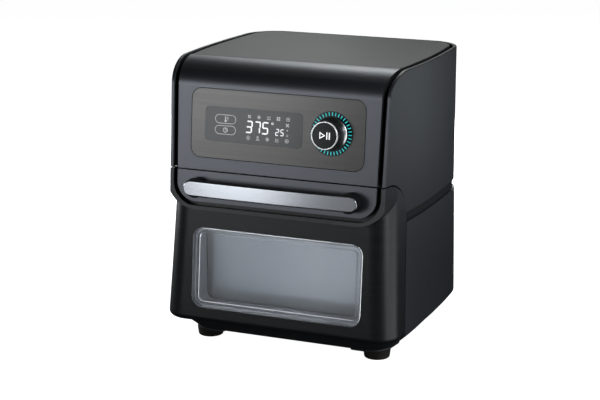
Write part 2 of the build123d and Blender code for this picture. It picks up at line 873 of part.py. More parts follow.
def motor_bracket():
    half = bracket_side / 2
    plate = block((-half, half), (-half, half), (heater_roof + bracket_rise, motor_z))
    plate = fillet(plate.edges().filter_by(Axis.Z), bracket_leg_inset)
    leg = half - bracket_leg_inset
    for x in (-leg, leg):
        for y in (-leg, leg):
            plate += Pos(x, y) * disc(bracket_leg, heater_roof, motor_z)
    plate -= disc(bush_radius + rotor_room, heater_roof, motor_z)
    for spot in motor_screw_spots():
        plate -= spot * disc(screw_radius + screw_room, heater_roof, motor_z)
    return Pos(0, fan_y) * plate


def motor_screw_spots():
    return [Rot(0, 0, 45 + 90 * index) * Pos(motor_screw_circle, 0) for index in range(4)]


def fan_motor():
    body = disc(motor_radius, motor_z, motor_top)
    body = fillet(body.edges().filter_by(GeomType.CIRCLE), motor_round)
    body -= disc(bush_radius, motor_z, motor_top)
    body -= disc(rotor_radius + rotor_room, motor_z + motor_cover, motor_top - motor_cover)
    for spot in motor_screw_spots():
        body -= spot * disc(screw_radius, motor_z, motor_z + motor_cover)
    return Pos(0, fan_y) * body


def motor_bushes():
    bush = pipe(bush_radius, motor_shaft_radius + shaft_gap, 0, bush_length)
    return [Pos(0, fan_y, z) * bush for z in (motor_z, motor_top - bush_length)]


def motor_screws():
    length = bracket_thick + motor_cover - screw_room
    return [Pos(0, fan_y, motor_z - bracket_thick) * spot * screw(length) for spot in motor_screw_spots()]


def fan_shaft():
    low = hot_fan_z - shaft_tail
    high = cooling_z + cooling_blade_height + shaft_tail
    return Pos(0, fan_y) * disc(motor_shaft_radius, low, high)


def motor_rotor():
    rotor = pipe(rotor_radius, motor_shaft_radius, motor_z + motor_cover + rotor_room,
                 motor_top - motor_cover - rotor_room)
    return Pos(0, fan_y) * rotor


def fan_wheel(radius, inner, blade_height, blades, disc_low, blade_low):
    wheel = disc(radius, disc_low, disc_low + fan_disc)
    blade_top = blade_low + blade_height
    wheel += disc(fan_hub_radius, min(disc_low, blade_low), max(disc_low + fan_disc, blade_top))
    blade = block((inner, radius), (-blade_thick / 2, blade_thick / 2), (blade_low, blade_top))
    for index in range(blades):
        wheel += Rot(0, 0, index * 360.0 / blades) * blade
    return Pos(0, fan_y) * (wheel - disc(motor_shaft_radius, 0, far))


def hot_fan():
    return fan_wheel(hot_fan_radius, hot_blade_inner, hot_blade_height, hot_blades,
                     hot_fan_z + hot_blade_height, hot_fan_z)


def cooling_fan():
    return fan_wheel(cooling_radius, cooling_blade_inner, cooling_blade_height - fan_disc, cooling_blades,
                     cooling_z, cooling_z + fan_disc)


def fan_nuts():
    face = RegularPolygon(nut_radius, 6) - Circle(motor_shaft_radius)
    nut = extrude(face, amount=nut_height)
    return [Pos(0, fan_y, z) * nut for z in (hot_fan_z - nut_height, cooling_z + cooling_blade_height)]


def air_guide():
    outer = cooling_radius + guide_room
    guide = pipe(outer + guide_wall, guide_bore, motor_top, motor_top + guide_wall)
    wall = pipe(outer + guide_wall, outer, motor_top, motor_top + guide_height)
    wall -= block((-guide_mouth / 2, guide_mouth / 2), (0, far), (motor_top + guide_wall, far))
    return Pos(0, fan_y) * (guide + wall)


def exhaust_duct():
    start = heater_y1 + seat_gap
    end = back_y - rim_width - seat_gap
    outer = block((-duct_half - sheet_wall, duct_half + sheet_wall), (start, end),
                  (duct_bottom - sheet_wall, duct_top + sheet_wall))
    return outer - block((-duct_half, duct_half), (start, end), (duct_bottom, duct_top))


def exhaust_grille():
    half = duct_half + grille_margin
    plate = block((-half, half), (back_y, back_y + grille_thick),
                  (duct_bottom - grille_margin, duct_top + grille_margin))
    plate = fillet(plate.edges().filter_by(Axis.Y), grille_margin / 2)
    pitch = 2 * duct_half / grille_slots
    for index in range(grille_slots):
        x = (index + 0.5) * pitch - duct_half
        slot = RectangleRounded(pitch - grille_slot, duct_height, grille_slot)
        plate -= Pos(x, back_y - overrun, duct_middle) * extrude(Plane.XZ * slot, amount=-far)
    for x, z in grille_spots():
        plate -= along_y(screw_radius + screw_room, x, z, back_y, back_y + grille_thick)
    return plate


def grille_screws():
    turned = Rot(90, 0, 0) * screw(grille_thick + rim_width)
    return [Pos(x, back_y + grille_thick, z) * turned for x, z in grille_spots()]


def cord_gland():
    flange = along_y(gland_flange, gland_x, gland_z, back_y, back_y + gland_flange_thick)
    flange = fillet(flange.edges().filter_by(GeomType.CIRCLE).sort_by(Axis.Y)[-1], gland_flange_thick / 2)
    inner_end = back_y - rim_width - gland_flange_thick
    boss = along_y(gland_neck, gland_x, gland_z, inner_end, back_y + gland_reach)
    return flange + boss - along_y(gland_bore, gland_x, gland_z, widest_y, far)


def power_board():
    width, depth, thick = power_size
    x, y = power_spot
    board = block((-width / 2, width / 2), (-depth / 2, depth / 2), (power_z, power_z + thick))
    for leg_x in (-width / 2 + power_leg_inset, width / 2 - power_leg_inset):
        for leg_y in (-depth / 2 + power_leg_inset, depth / 2 - power_leg_inset):
            board += Pos(leg_x, leg_y) * disc(power_leg, heater_roof, power_z)
    return Pos(x, fan_y + y) * board


def transformer():
    width, depth, tall = transformer_size
    x, y = power_spot
    low = power_z + power_size[2]
    body = block((-width / 2, width / 2), (-depth / 2, depth / 2), (low, low + tall))
    return Pos(x, fan_y + y) * fillet(body.edges().filter_by(Axis.Z), transformer_round)


def ribbon_cable():
    # Flat cable from the power board's front edge over to the back of the control board.
    x = (power_spot[0] - ribbon_width / 2, power_spot[0] + ribbon_width / 2)
    start_y = fan_y + power_spot[1] - power_size[1] / 2 + power_leg_inset
    start_z = power_z + power_size[2]
    run_z = start_z + ribbon_lift
    riser = block(x, (start_y, start_y + ribbon_thick), (start_z, run_z))
    run = block(x, (front_y, start_y + ribbon_thick), (run_z, run_z + ribbon_thick))
    return (riser + run) & behind(board_depth + board_thick + seat_gap)


def temperature_probe():
    start = heater_y0 - probe_outside
    rod = along_y(probe_radius, probe_x, probe_z, start, start + probe_length)
    return rod + along_y(probe_head, probe_x, probe_z, start, heater_y0 - seat_gap)


def thermal_fuse():
    width, depth, tall = fuse_size
    x, y = fuse_spot
    body = block((-width / 2, width / 2), (-depth / 2, depth / 2), (heater_roof, heater_roof + tall))
    return Pos(x, fan_y + y) * fillet(body.edges().filter_by(Axis.Z), fuse_round)


def drawer_front():
    body = lower_body(0, drawer_bottom, split_z - half_gap) & behind(lower_recess)
    body = fillet(front_uprights(body), drawer_corner)
    body = fillet(body.edges().group_by(Axis.Z)[0], bottom_round)
    raised_face = channel_face(side_half(front_y + drawer_corner + lower_recess), slope_at(frame_bottom), far,
                               frame_corner)
    raised = front_slab(raised_face, -lower_recess - drawer_corner, 0)
    body += raised & slab(plan_face(), 0, split_z - half_gap)
    groove_half = side_half(front_y, rim_width)
    groove_face = channel_face(groove_half, slope_at(frame_bottom + rim_width), far, groove_corner)
    body -= front_slab(groove_face, -groove_depth, far)
    cavity = lower_body(drawer_wall, drawer_bottom + drawer_wall, split_z)
    cavity = cavity & behind(lower_recess + drawer_wall)
    cavity = fillet(front_uprights(cavity), drawer_corner - drawer_wall)
    cavity = cavity & across(drawer_profile(-half_gap - drawer_wall))
    hole_half = seal_outer_half + seat_gap
    back_hole = block((-hole_half, hole_half), (cover_front - seat_gap, far),
                      (drawer_bottom + drawer_wall, seal_top + seat_gap))
    body = body & across(drawer_profile(-half_gap))
    body = body - cavity - back_hole
    body -= front_slab(window_face(window_seam), -lower_recess - 2 * drawer_wall, 0)
    for side in (-1, 1):
        body -= front_spot(side * post_half, -handle_drop) * disc(screw_radius + screw_room, -through, 0)
    return body


def handle_panel():
    half = side_half(front_y, panel_inset)
    bottom = slope_at(frame_bottom + panel_inset)
    top = slope_at(split_z - half_gap)
    face = channel_face(half, bottom, top, groove_corner - groove_width)
    tray = front_slab(face, -groove_depth + seat_gap, 0)
    inner = channel_face(half - skirt_wall, bottom + skirt_wall, top - skirt_wall,
                         groove_corner - panel_inset)
    tray -= front_slab(inner, -groove_depth, -cover_wall)
    for side in (-1, 1):
        spot = front_spot(side * post_half, -handle_drop)
        tray += spot * disc(2 * screw_radius, -groove_depth + seat_gap, -cover_wall)
        tray -= spot * disc(screw_radius + screw_room, -groove_depth, 0)
    return tray


def bar_solid(margin, w_back, w_front):
    # Bowed bar with full round ends, as thick as the two faces it lies between.
    half = handle_half + margin
    tall = handle_height / 2 + margin

    end = half + overrun

    def bow(offset_w):
        return ThreePointArc((-end, bow_w(end) + offset_w), (0, offset_w), (end, bow_w(end) + offset_w))

    back = bow(w_back)
    front = bow(w_front)
    side_lines = [Line(back @ 0, front @ 0), Line(back @ 1, front @ 1)]
    face = make_face([back, front] + side_lines)
    sheet = front_spot(0, -handle_drop) * extrude(Plane.XZ * face, amount=far, both=True)
    outline = Pos(0, -handle_drop) * SlotOverall(2 * half, 2 * tall)
    return sheet & front_slab(outline, 0, far)


def bow_w(u):
    radius = (handle_half ** 2 + handle_bow ** 2) / (2 * handle_bow)
    return sqrt(radius ** 2 - u ** 2) - radius


def handle_face():
    bar = bar_solid(0, handle_reach - face_thick, handle_reach)
    front = bar.faces().sort_by(lambda face: face.center().dot(front_plane.z_dir))[-1]
    return fillet(front.edges(), face_round)


def handle_grip():
    back = handle_reach - face_thick - grip_thick
    bar = bar_solid(grip_lip, back, handle_reach - face_thick)
    for side in (-1, 1):
        spot = front_spot(side * post_half, -handle_drop)
        bar += spot * disc(post_radius, 0, back + grip_thick / 2 + bow_w(post_half))
        bar -= spot * disc(screw_radius, 0, back)
    return bar


def handle_screws():
    low = -lower_recess - drawer_wall
    length = handle_reach - face_thick - grip_thick - low - screw_room
    return [front_spot(side * post_half, -handle_drop, low) * screw(length) for side in (-1, 1)]


def window_glass():
    # Clear moulding: flange behind the drawer wall, stepped bezel in front, thin pane in the middle.
    wall_w = -lower_recess - drawer_wall
    flange_w = wall_w - glass_flange_thick
    glass = front_slab(window_face(0), flange_w, -lower_recess + window_proud)
    glass += front_slab(window_face(glass_flange), flange_w, wall_w - seat_gap)
    glass -= front_slab(window_face(-bezel_step), -lower_recess, 0)
    glass -= front_slab(window_face(-2 * bezel_step), -lower_recess - bezel_drop, 0)
    return glass - front_slab(window_face(-2 * bezel_step), flange_w, -lower_recess - bezel_drop - pane_thick)


def window_tunnel():
    start = -lower_recess - drawer_wall - glass_flange_thick - seat_gap
    tube = window_face(tunnel_wall - tunnel_step) - window_face(-tunnel_step)
    return front_slab(tube, -through, start) & block((-far, far), (-far, cover_front - seat_gap), (0, far))


def tunnel_bore():
    return front_slab(window_face(-tunnel_step), -through, 0)


def inner_window_z():
    # Height of the window's middle where the tunnel reaches the inner cover.
    middle = front_spot(0, slope_at((window_top + window_bottom) / 2, lower_recess), -lower_recess).position
    return middle.Z - (cover_back - middle.Y) * tan(lean)


def inner_cover():
    half = seal_outer_half
    foot = drawer_bottom + drawer_wall + seat_gap
    plate = block((-half, half), (cover_front, cover_back), (foot, seal_top))
    plate = fillet(plate.edges().filter_by(Axis.Y), seal_width)
    for x, z in pot_screw_spots():
        plate -= along_y(screw_radius + screw_room, x, z, cover_front, cover_back)
    return plate - tunnel_bore()


def inner_glass():
    half = window_half + inner_glass_margin
    tall = (window_top - window_bottom) / 2 + inner_glass_margin
    middle = inner_window_z()
    low = cover_back + seat_gap
    pane = block((-half, half), (low, low + glass_thick), (middle - tall, middle + tall))
    return fillet(pane.edges().filter_by(Axis.Y), window_corner)


def pot_screw_spots():
    z = (pot_rim + inner_window_z() + (window_top - window_bottom) / 2) / 2
    return [(x, z) for x in (-pot_screw_x, -pot_screw_x / 3, pot_screw_x / 3, pot_screw_x)]


def pot_screws():
    length = cover_thick + 2 * seat_gap + glass_thick + pot_wall
    return [Pos(x, cover_front, z) * Rot(-90, 0, 0) * screw(length) for x, z in pot_screw_spots()]


def pot_block(inset):
    body = block((-pot_half + inset, pot_half - inset), (pot_front + inset, pot_back - inset),
                 (pot_floor + inset, pot_rim))
    body = fillet(body.edges().filter_by(Axis.Z), pot_corner - inset)
    return fillet(body.edges().group_by(Axis.Z)[0], pot_foot_round - inset)


def drawer_pot():
    pot = pot_block(0) - pot_block(pot_wall)
    for side in (-1, 1):
        x = sorted((side * (pot_half - pot_wall), side * (pot_half + pot_flange)))
        pot += block(x, (pot_front + pot_corner, pot_back - pot_corner), (pot_rim - pot_wall, pot_rim))
    front_wall = block((-far, far), (pot_front - pot_wall, pot_front + 2 * pot_wall), (0, far))
    pot -= front_slab(window_face(-2 * tunnel_step), -through, 0) & front_wall
    for x, z in pot_screw_spots():
        pot -= along_y(screw_radius + screw_room, x, z, pot_front - pot_wall, pot_front + 2 * pot_wall)
    return pot


def drawer_seal():
    # Soft lip on the inner cover, wedge shaped because the bay frame leans.
    foot = drawer_bottom + drawer_wall + seat_gap
    outer = block((-seal_outer_half, seal_outer_half), (cover_back, far), (foot, seal_top))
    outer = fillet(outer.edges().filter_by(Axis.Y), seal_width)
    inner = block((-seal_inner_half, seal_inner_half), (cover_back, far),
                  (opening_bottom - seal_room / 2, opening_top + seal_room / 2))
    inner = fillet(inner.edges().filter_by(Axis.Y), seal_width / 2)
    return (outer - inner) & across(drawer_profile(half_gap - slide_gap))


def drawer_magnet():
    return along_y(magnet_radius, magnet_x, magnet_z, cover_front - magnet_length, cover_front)


def reed_switch():
    width, depth, tall = reed_size
    x = bay_half + seat_gap
    back = seam_y + half_gap + frame_wall + depth
    body = block((x, x + width), (seam_foot_y, back), (magnet_z - tall / 2, magnet_z + tall / 2))
    return body - across(drawer_profile(half_gap + frame_wall + seat_gap))


def crisper_extent():
    half = pot_half - pot_wall - crisper_room
    return half, pot_front + pot_wall + crisper_front_room, pot_back - pot_wall - crisper_room


def bumper_spots():
    half, front, back = crisper_extent()
    x = half - bumper_edge
    return [(side * x, y) for side in (-1, 1) for y in (front + bumper_edge, back - bumper_edge)]


def crisper_plate():
    half, front, back = crisper_extent()
    middle = (front + back) / 2
    face = Pos(0, middle) * RectangleRounded(2 * half, back - front, crisper_corner)
    face -= [Pos(0, middle) * spot * Circle(vent_radius)
             for spot in GridLocations(vent_pitch, vent_pitch, vent_columns, vent_rows)]
    face -= [Pos(x, y) * Circle(bumper_stem + screw_room) for x, y in bumper_spots()]
    return slab(face, crisper_z, crisper_z + crisper_thick)


def crisper_bumpers():
    body = disc(bumper_radius, pot_floor + pot_wall + seat_gap, crisper_z)
    body += disc(bumper_stem, crisper_z, crisper_z + crisper_thick)
    cap = disc(bumper_cap, crisper_z + crisper_thick, crisper_z + crisper_thick + bumper_cap_height)
    body += fillet(cap.edges().group_by(Axis.Z)[-1], bumper_cap_height / 2)
    return [Pos(x, y) * body for x, y in bumper_spots()]


def housing_screws():
    return foot_screws() + board_screws() + motor_screws() + grille_screws()


def drawer_screws():
    return handle_screws() + pot_screws()


nodes = [
    upper_housing, lower_housing, seam_band, top_cover, front_panel, gutter_trims, base_pan, rubber_feet,
    housing_screws, drawer_bay_frame, inner_liner, drawer_rails, control_plate, display_lens, display_module,
    control_board, dial_mask_ring, dial_light_guide, encoder, encoder_shaft, dial_knob,
    button_cap, button_plunger, heater_housing, heater_guard, heating_element, heater_clips, motor_bracket,
    fan_motor, motor_bushes, fan_shaft, motor_rotor, hot_fan, cooling_fan, fan_nuts, air_guide,
    exhaust_duct, exhaust_grille, cord_gland, power_board, transformer, ribbon_cable,
    temperature_probe, thermal_fuse, reed_switch, drawer_front, handle_panel, handle_face, handle_grip,
    drawer_screws, window_glass, window_tunnel, inner_cover, inner_glass, drawer_pot, drawer_seal,
    drawer_magnet, crisper_plate, crisper_bumpers,
]


def main():
    os.makedirs("parts", exist_ok=True)
    for make in nodes:
        made = make()
        shape = Compound(children=made) if isinstance(made, list) else made
        export_step(shape, f"parts/{make.__name__}.step")
        print(make.__name__, round(shape.volume), "mm3")


if __name__ == "__main__":
    main()
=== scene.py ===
import json
import math

import bmesh
import bpy
from mathutils import Matrix, Vector


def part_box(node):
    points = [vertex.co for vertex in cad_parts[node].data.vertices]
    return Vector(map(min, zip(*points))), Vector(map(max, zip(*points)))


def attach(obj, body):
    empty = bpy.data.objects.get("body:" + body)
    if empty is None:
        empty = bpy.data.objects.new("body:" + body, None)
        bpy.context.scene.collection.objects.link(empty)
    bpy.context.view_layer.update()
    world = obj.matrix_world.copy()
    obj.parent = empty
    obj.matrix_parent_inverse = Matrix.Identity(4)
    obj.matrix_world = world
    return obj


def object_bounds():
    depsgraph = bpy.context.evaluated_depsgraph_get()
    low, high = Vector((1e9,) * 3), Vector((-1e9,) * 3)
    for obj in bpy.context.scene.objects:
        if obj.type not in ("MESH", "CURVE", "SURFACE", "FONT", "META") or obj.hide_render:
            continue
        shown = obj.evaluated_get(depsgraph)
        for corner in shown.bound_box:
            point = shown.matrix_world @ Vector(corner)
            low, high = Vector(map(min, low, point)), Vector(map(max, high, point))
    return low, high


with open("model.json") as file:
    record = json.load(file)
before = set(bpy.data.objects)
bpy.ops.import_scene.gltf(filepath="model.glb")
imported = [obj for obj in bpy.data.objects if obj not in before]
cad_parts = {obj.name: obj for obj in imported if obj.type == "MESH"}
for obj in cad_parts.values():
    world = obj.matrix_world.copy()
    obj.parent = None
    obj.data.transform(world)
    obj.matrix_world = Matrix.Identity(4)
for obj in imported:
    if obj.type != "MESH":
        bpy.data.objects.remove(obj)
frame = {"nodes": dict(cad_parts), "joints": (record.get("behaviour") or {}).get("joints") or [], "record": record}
nodes = frame["nodes"]
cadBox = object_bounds()
bpy.ops.object.select_all(action="DESELECT")
print("frame loaded:", len(nodes), "nodes")

mm = 0.001
quarterTurn = math.pi / 2
sixthTurn = math.tau / 6
slotOf = {entry["node"]: entry["material_slot"] for entry in frame["record"]["subparts"]}

# the leaning front: right, up and out of it, read from the dial's own axis
dialJoint = next(j for j in frame["joints"] if j["name"] == "dial_turn")
frontOut = Vector(dialJoint["axis"]).normalized()
frontRight = Vector((1.0, 0.0, 0.0))
frontUp = frontOut.cross(frontRight)


# middle of a node, moved straight out of the front to the level of its foremost point
def faceCentre(node):
    low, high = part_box(node)
    middle = (low + high) / 2
    reach = max(v.co.dot(frontOut) for v in nodes[node].data.vertices)
    return middle + frontOut * (reach - middle.dot(frontOut))


# a shader socket that can stand in sums, and from which any other node is made
class Wire:
    def __init__(self, socket):
        self.socket = socket

    def node(self, kind, settings=None, inputs=None, output=0):
        tree = self.socket.id_data
        made = tree.nodes.new(kind)
        for key, value in (settings or {}).items():
            if key == "stops":
                band = made.color_ramp
                band.elements.remove(band.elements[1])
                band.elements[0].position, band.elements[0].color = value[0][0], (*value[0][1], 1.0)
                for spot, tint in value[1:]:
                    band.elements.new(spot).color = (*tint, 1.0)
            else:
                setattr(made, key, value)
        for key, value in (inputs or {}).items():
            if isinstance(value, Wire):
                tree.links.new(value.socket, made.inputs[key])
            else:
                made.inputs[key].default_value = value
        return Wire(made.outputs[output])

    def math(self, operation, first, second):
        return self.node("ShaderNodeMath", {"operation": operation}, {0: first, 1: second})

    def __add__(self, other):
        return self.math("ADD", self, other)

    def __radd__(self, other):
        return self.math("ADD", other, self)

    def __sub__(self, other):
        return self.math("SUBTRACT", self, other)

    def __rsub__(self, other):
        return self.math("SUBTRACT", other, self)

    def __mul__(self, other):
        return self.math("MULTIPLY", self, other)

    def __rmul__(self, other):
        return self.math("MULTIPLY", other, self)

    def into(self, shader, name):
        self.socket.id_data.links.new(self.socket, shader.inputs[name])


def newFinish(name, fixed):
    material = bpy.data.materials.new(name)
    material.use_nodes = True
    shader = material.node_tree.nodes["Principled BSDF"]
    for socketName, value in fixed.items():
        shader.inputs[socketName].default_value = value
    place = Wire(material.node_tree.nodes.new("ShaderNodeTexCoord").outputs["Object"])
    return material, shader, place


def noise(place, scale, detail=2.0, rough=0.5):
    return place.node("ShaderNodeTexNoise", None,
                      {"Vector": place, "Scale": scale, "Detail": detail, "Roughness": rough})


def stretched(place, scale):
    return place.node("ShaderNodeMapping", None, {"Vector": place, "Scale": scale})


# from one colour to another between two tones of a pattern
def shaded(tone, tones, dark, light):
    return tone.node("ShaderNodeValToRGB", {"stops": list(zip(tones, (dark, light)))}, {"Fac": tone})


def mixed(first, second, share):
    return first * share + second * (1.0 - share)


# gloss that follows a pattern, whose tones lie about evenTone
evenTone = 0.5


def roughened(shader, pattern, rough, vary):
    (rough + (pattern - evenTone) * vary).into(shader, "Roughness")


def bump(height, strength, distance):
    return height.node("ShaderNodeBump", None,
                       {"Height": height, "Strength": strength, "Distance": distance})


# how far a point counts as part of the rim that stands furthest out at the front, where a highlight is painted
def frontRimHighlightMask(place, look):
    ahead = place.node("ShaderNodeVectorMath", {"operation": "DOT_PRODUCT"},
                       {0: place, 1: frontOut}, "Value")
    return shaded((ahead - look["rimFrom"]) * (1.0 / look["rimBlend"]), (0.0, 1.0),
                  (0.0, 0.0, 0.0), (1.0, 1.0, 1.0))


# the mix node's colours are its inputs 6 and 7 and its output 2
def blended(mask, colour, other):
    return mask.node("ShaderNodeMix", {"data_type": "RGBA"},
                     {"Factor": mask, 6: colour, 7: (*other, 1.0)}, 2)


# moulded plastic and rubber: slow clouding, a fine spark-eroded grain, a little gloss change
moulded = {"cloudDetail": 3.0, "grainDetail": 2.0, "grainRough": 0.6, "cloudShare": 0.55,
           "tones": (0.3, 0.7)}


def mouldedPlastic(name, look):
    material, shader, place = newFinish(name, look.get("fixed", {}))
    cloud = noise(place, look["cloud"], moulded["cloudDetail"])
    grain = noise(place, look["grain"], moulded["grainDetail"], moulded["grainRough"])
    tone = mixed(cloud, grain, moulded["cloudShare"])
    colour = shaded(tone, moulded["tones"], look["dark"], look["light"])
    if "rim" in look:   # the lacquer of the front panel runs on over this edge, and it also stands in as a painted highlight for the edge's gleam
        mask = frontRimHighlightMask(place, look)
        colour = blended(mask, colour, look["rim"])
        (mask * look["rimMetal"]).into(shader, "Metallic")
    colour.into(shader, "Base Color")
    roughened(shader, tone, look["rough"], look["roughVary"])
    bump(grain, look["bump"], look["depth"]).into(shader, "Normal")
    return material


# brushed or rolled metal and lacquer: two sets of long streaks on top of each other
brushed = {"broadDetail": 3.0, "broadRough": 0.6, "hairDetail": 2.0, "hairRough": 0.7,
           "tones": (0.25, 0.75)}


def brushedMetal(name, look):
    material, shader, place = newFinish(name, look.get("fixed", {}))
    broad = noise(stretched(place, look["broad"]), 1.0, brushed["broadDetail"], brushed["broadRough"])
    hair = noise(stretched(place, look["hair"]), 1.0, brushed["hairDetail"], brushed["hairRough"])
    tone = mixed(broad, hair, look["broadShare"])
    colour = shaded(tone, brushed["tones"], look["dark"], look["light"])
    # painted highlight: the rim that stands furthest out at the front is coloured lighter
    if "rim" in look:
        colour = blended(frontRimHighlightMask(place, look), colour, look["rim"])
    colour.into(shader, "Base Color")
    roughened(shader, hair, look["rough"], look["roughVary"])
    bump(hair, look["bump"], look["depth"]).into(shader, "Normal")
    return material


# lacquer with fine metal flake in it
flaked = {"cloudDetail": 3.0, "cloudShare": 0.8, "tones": (0.2, 0.8)}


def flakeLacquer(name, look):
    material, shader, place = newFinish(name, look.get("fixed", {}))
    flake = place.node("ShaderNodeTexVoronoi", {"feature": "F1"},
                       {"Vector": place, "Scale": look["flake"]}, "Color")
    glint = place.node("ShaderNodeSeparateColor", None, {"Color": flake}, "Red")
    cloud = noise(place, look["cloud"], flaked["cloudDetail"])
    tone = mixed(cloud, glint, flaked["cloudShare"])
    shaded(tone, flaked["tones"], look["dark"], look["light"]).into(shader, "Base Color")
    roughened(shader, glint, look["rough"], look["roughVary"])
    bump(glint, look["bump"], look["depth"]).into(shader, "Normal")
    return material


# metal turned on a lathe: rings about the dial's axis
turned = {"waver": 1.5, "detail": 2.0, "detailScale": 2.0, "smearDetail": 3.0, "ringShare": 0.4,
          "tones": (0.2, 0.8)}


def turnedMetal(name, look):
    material, shader, place = newFinish(name, look.get("fixed", {}))
    lean = math.atan2(frontOut.z, -frontOut.y)
    centred = place.node("ShaderNodeMapping", {"vector_type": "TEXTURE"},
                         {"Vector": place, "Location": Vector(dialJoint["pos_m"]),
                          "Rotation": (quarterTurn - lean, 0.0, 0.0)})
    rings = place.node("ShaderNodeTexWave",
                       {"wave_type": "RINGS", "rings_direction": "Z", "wave_profile": "SIN"},
                       {"Vector": centred, "Scale": look["rings"], "Distortion": turned["waver"],
                        "Detail": turned["detail"], "Detail Scale": turned["detailScale"]}, "Fac")
    smear = noise(place, look["smear"], turned["smearDetail"])
    tone = mixed(rings, smear, turned["ringShare"])
    shaded(tone, turned["tones"], look["dark"], look["light"]).into(shader, "Base Color")
    roughened(shader, tone, look["rough"], look["roughVary"])
    bump(rings, look["bump"], look["depth"]).into(shader, "Normal")
    return material


# something lit from behind, with a slightly patchy glow
glowing = {"tones": (0.25, 0.7), "roughVary": 0.1}


def lit(name, look):
    material, shader, place = newFinish(name, look.get("fixed", {}))
    patch = noise(place, look["patch"])
    shaded(patch, glowing["tones"], look["dim"], look["bright"]).into(shader, "Emission Color")
    shaded(patch, glowing["tones"], look["dark"], look["light"]).into(shader, "Base Color")
    roughened(shader, patch, look["rough"], glowing["roughVary"])
    return material


# clear pane with a trace of wiping marks
wiped = {"detail": 3.0, "tones": (0.3, 0.7)}


def clearPane(name, look):
    material, shader, place = newFinish(name, look["fixed"])
    wipe = noise(stretched(place, look["wipe"]), 1.0, wiped["detail"])
    shaded(wipe, wiped["tones"], look["dark"], look["light"]).into(shader, "Base Color")
    roughened(shader, wipe, look["rough"], look["roughVary"])
    return material


# solder-masked board: tracks under the mask, dust on top
masked = {"offset": 0.5, "trackGap": 0.08, "dustDetail": 3.0, "roughVary": 0.2, "bump": 0.2,
          "depth": 0.00005}


def printedBoard(name, look):
    material, shader, place = newFinish(name, look.get("fixed", {}))
    tracks = place.node("ShaderNodeTexBrick", {"offset": masked["offset"]},
                        {"Vector": place, "Scale": look["tracks"], "Mortar Size": masked["trackGap"],
                         "Color1": (*look["dark"], 1.0), "Color2": (*look["mid"], 1.0),
                         "Mortar": (*look["light"], 1.0)}, "Color")
    tracks.into(shader, "Base Color")
    dust = noise(place, look["dust"], masked["dustDetail"])
    roughened(shader, dust, look["rough"], masked["roughVary"])
    bump(dust, masked["bump"], masked["depth"]).into(shader, "Normal")
    return material


bodyBlack = {"dark": (0.020, 0.021, 0.024), "light": (0.029, 0.031, 0.036), "cloud": 9.0, "grain": 1400.0,
             "rough": 0.42, "roughVary": 0.10, "bump": 0.10, "depth": 0.00008}
# housing: the front lip takes the panel's lacquer colour and metal, partly the real lacquer and partly a painted
# highlight for its rounded edge
housingBlack = {**bodyBlack, "rim": (0.134, 0.139, 0.154), "rimMetal": 0.9, "rimBlend": 0.3 * mm,
                "rimFrom": faceCentre("upper_housing").dot(frontOut) - 0.6 * mm}
trimBlack = {"dark": (0.006, 0.006, 0.007), "light": (0.010, 0.010, 0.011), "cloud": 20.0, "grain": 1800.0,
             "rough": 0.55, "roughVary": 0.12, "bump": 0.15, "depth": 0.00008,
             "fixed": {"Specular IOR Level": 0.25}}
coverGrey = {"dark": (0.018, 0.019, 0.020), "light": (0.027, 0.028, 0.030), "cloud": 14.0, "grain": 900.0,
             "rough": 0.42, "roughVary": 0.10, "bump": 0.25, "depth": 0.0001}
rubberBlack = {"dark": (0.009, 0.006, 0.004), "light": (0.016, 0.011, 0.008), "cloud": 60.0, "grain": 1200.0,
               "rough": 0.7, "roughVary": 0.12, "bump": 0.3, "depth": 0.0001}
ringBlack = {"dark": (0.006, 0.007, 0.008), "light": (0.010, 0.011, 0.012), "cloud": 80.0, "grain": 2400.0,
             "rough": 0.14, "roughVary": 0.05, "bump": 0.03, "depth": 0.00005,
             "fixed": {"Specular IOR Level": 0.2}}
lensDark = {"dark": (0.020, 0.023, 0.027), "light": (0.034, 0.037, 0.042), "cloud": 12.0, "grain": 2600.0,
            "rough": 0.16, "roughVary": 0.05, "bump": 0.02, "depth": 0.00004,
            "fixed": {"Specular IOR Level": 0.38}}
innerPlastic = {"dark": (0.30, 0.30, 0.28), "light": (0.42, 0.42, 0.40), "cloud": 40.0, "grain": 1500.0,
                "rough": 0.5, "roughVary": 0.12, "bump": 0.2, "depth": 0.0001}
potCoated = {"dark": (0.24, 0.25, 0.27), "light": (0.33, 0.34, 0.36), "cloud": 18.0, "grain": 1100.0,
             "rough": 0.38, "roughVary": 0.12, "bump": 0.2, "depth": 0.0001, "fixed": {"Metallic": 0.35}}
tunnelGrey = {"dark": (0.24, 0.25, 0.29), "light": (0.32, 0.33, 0.37), "cloud": 30.0, "grain": 1200.0,
              "rough": 0.30, "roughVary": 0.10, "bump": 0.08, "depth": 0.00006}

# drawer front: the raised frame's front face is painted lighter, a painted highlight where the light falls on it
drawerBlack = {"dark": (0.006, 0.0065, 0.007), "light": (0.020, 0.0215, 0.0235), "broad": (6.0, 6.0, 260.0),
               "hair": (14.0, 14.0, 1300.0), "broadShare": 0.4, "rough": 0.34, "roughVary": 0.22,
               "bump": 0.18, "depth": 0.00008, "fixed": {"Specular IOR Level": 0.42},
               "rim": (0.062, 0.065, 0.070), "rimBlend": 1.0 * mm,
               "rimFrom": faceCentre("drawer_front").dot(frontOut) - 2.0 * mm}
controlMetal = {"dark": (0.052, 0.051, 0.049), "light": (0.092, 0.090, 0.087), "broad": (3.0, 3.0, 420.0),
                "hair": (8.0, 8.0, 1500.0), "broadShare": 0.45, "rough": 0.25, "roughVary": 0.06,
                "bump": 0.05, "depth": 0.00004, "fixed": {"Metallic": 0.9}}
handleSilver = {"dark": (0.46, 0.475, 0.505), "light": (0.50, 0.515, 0.55), "broad": (4.0, 300.0, 300.0),
                "hair": (6.0, 900.0, 900.0), "broadShare": 0.5, "rough": 0.22, "roughVary": 0.03,
                "bump": 0.01, "depth": 0.00002, "fixed": {"Metallic": 1.0}}
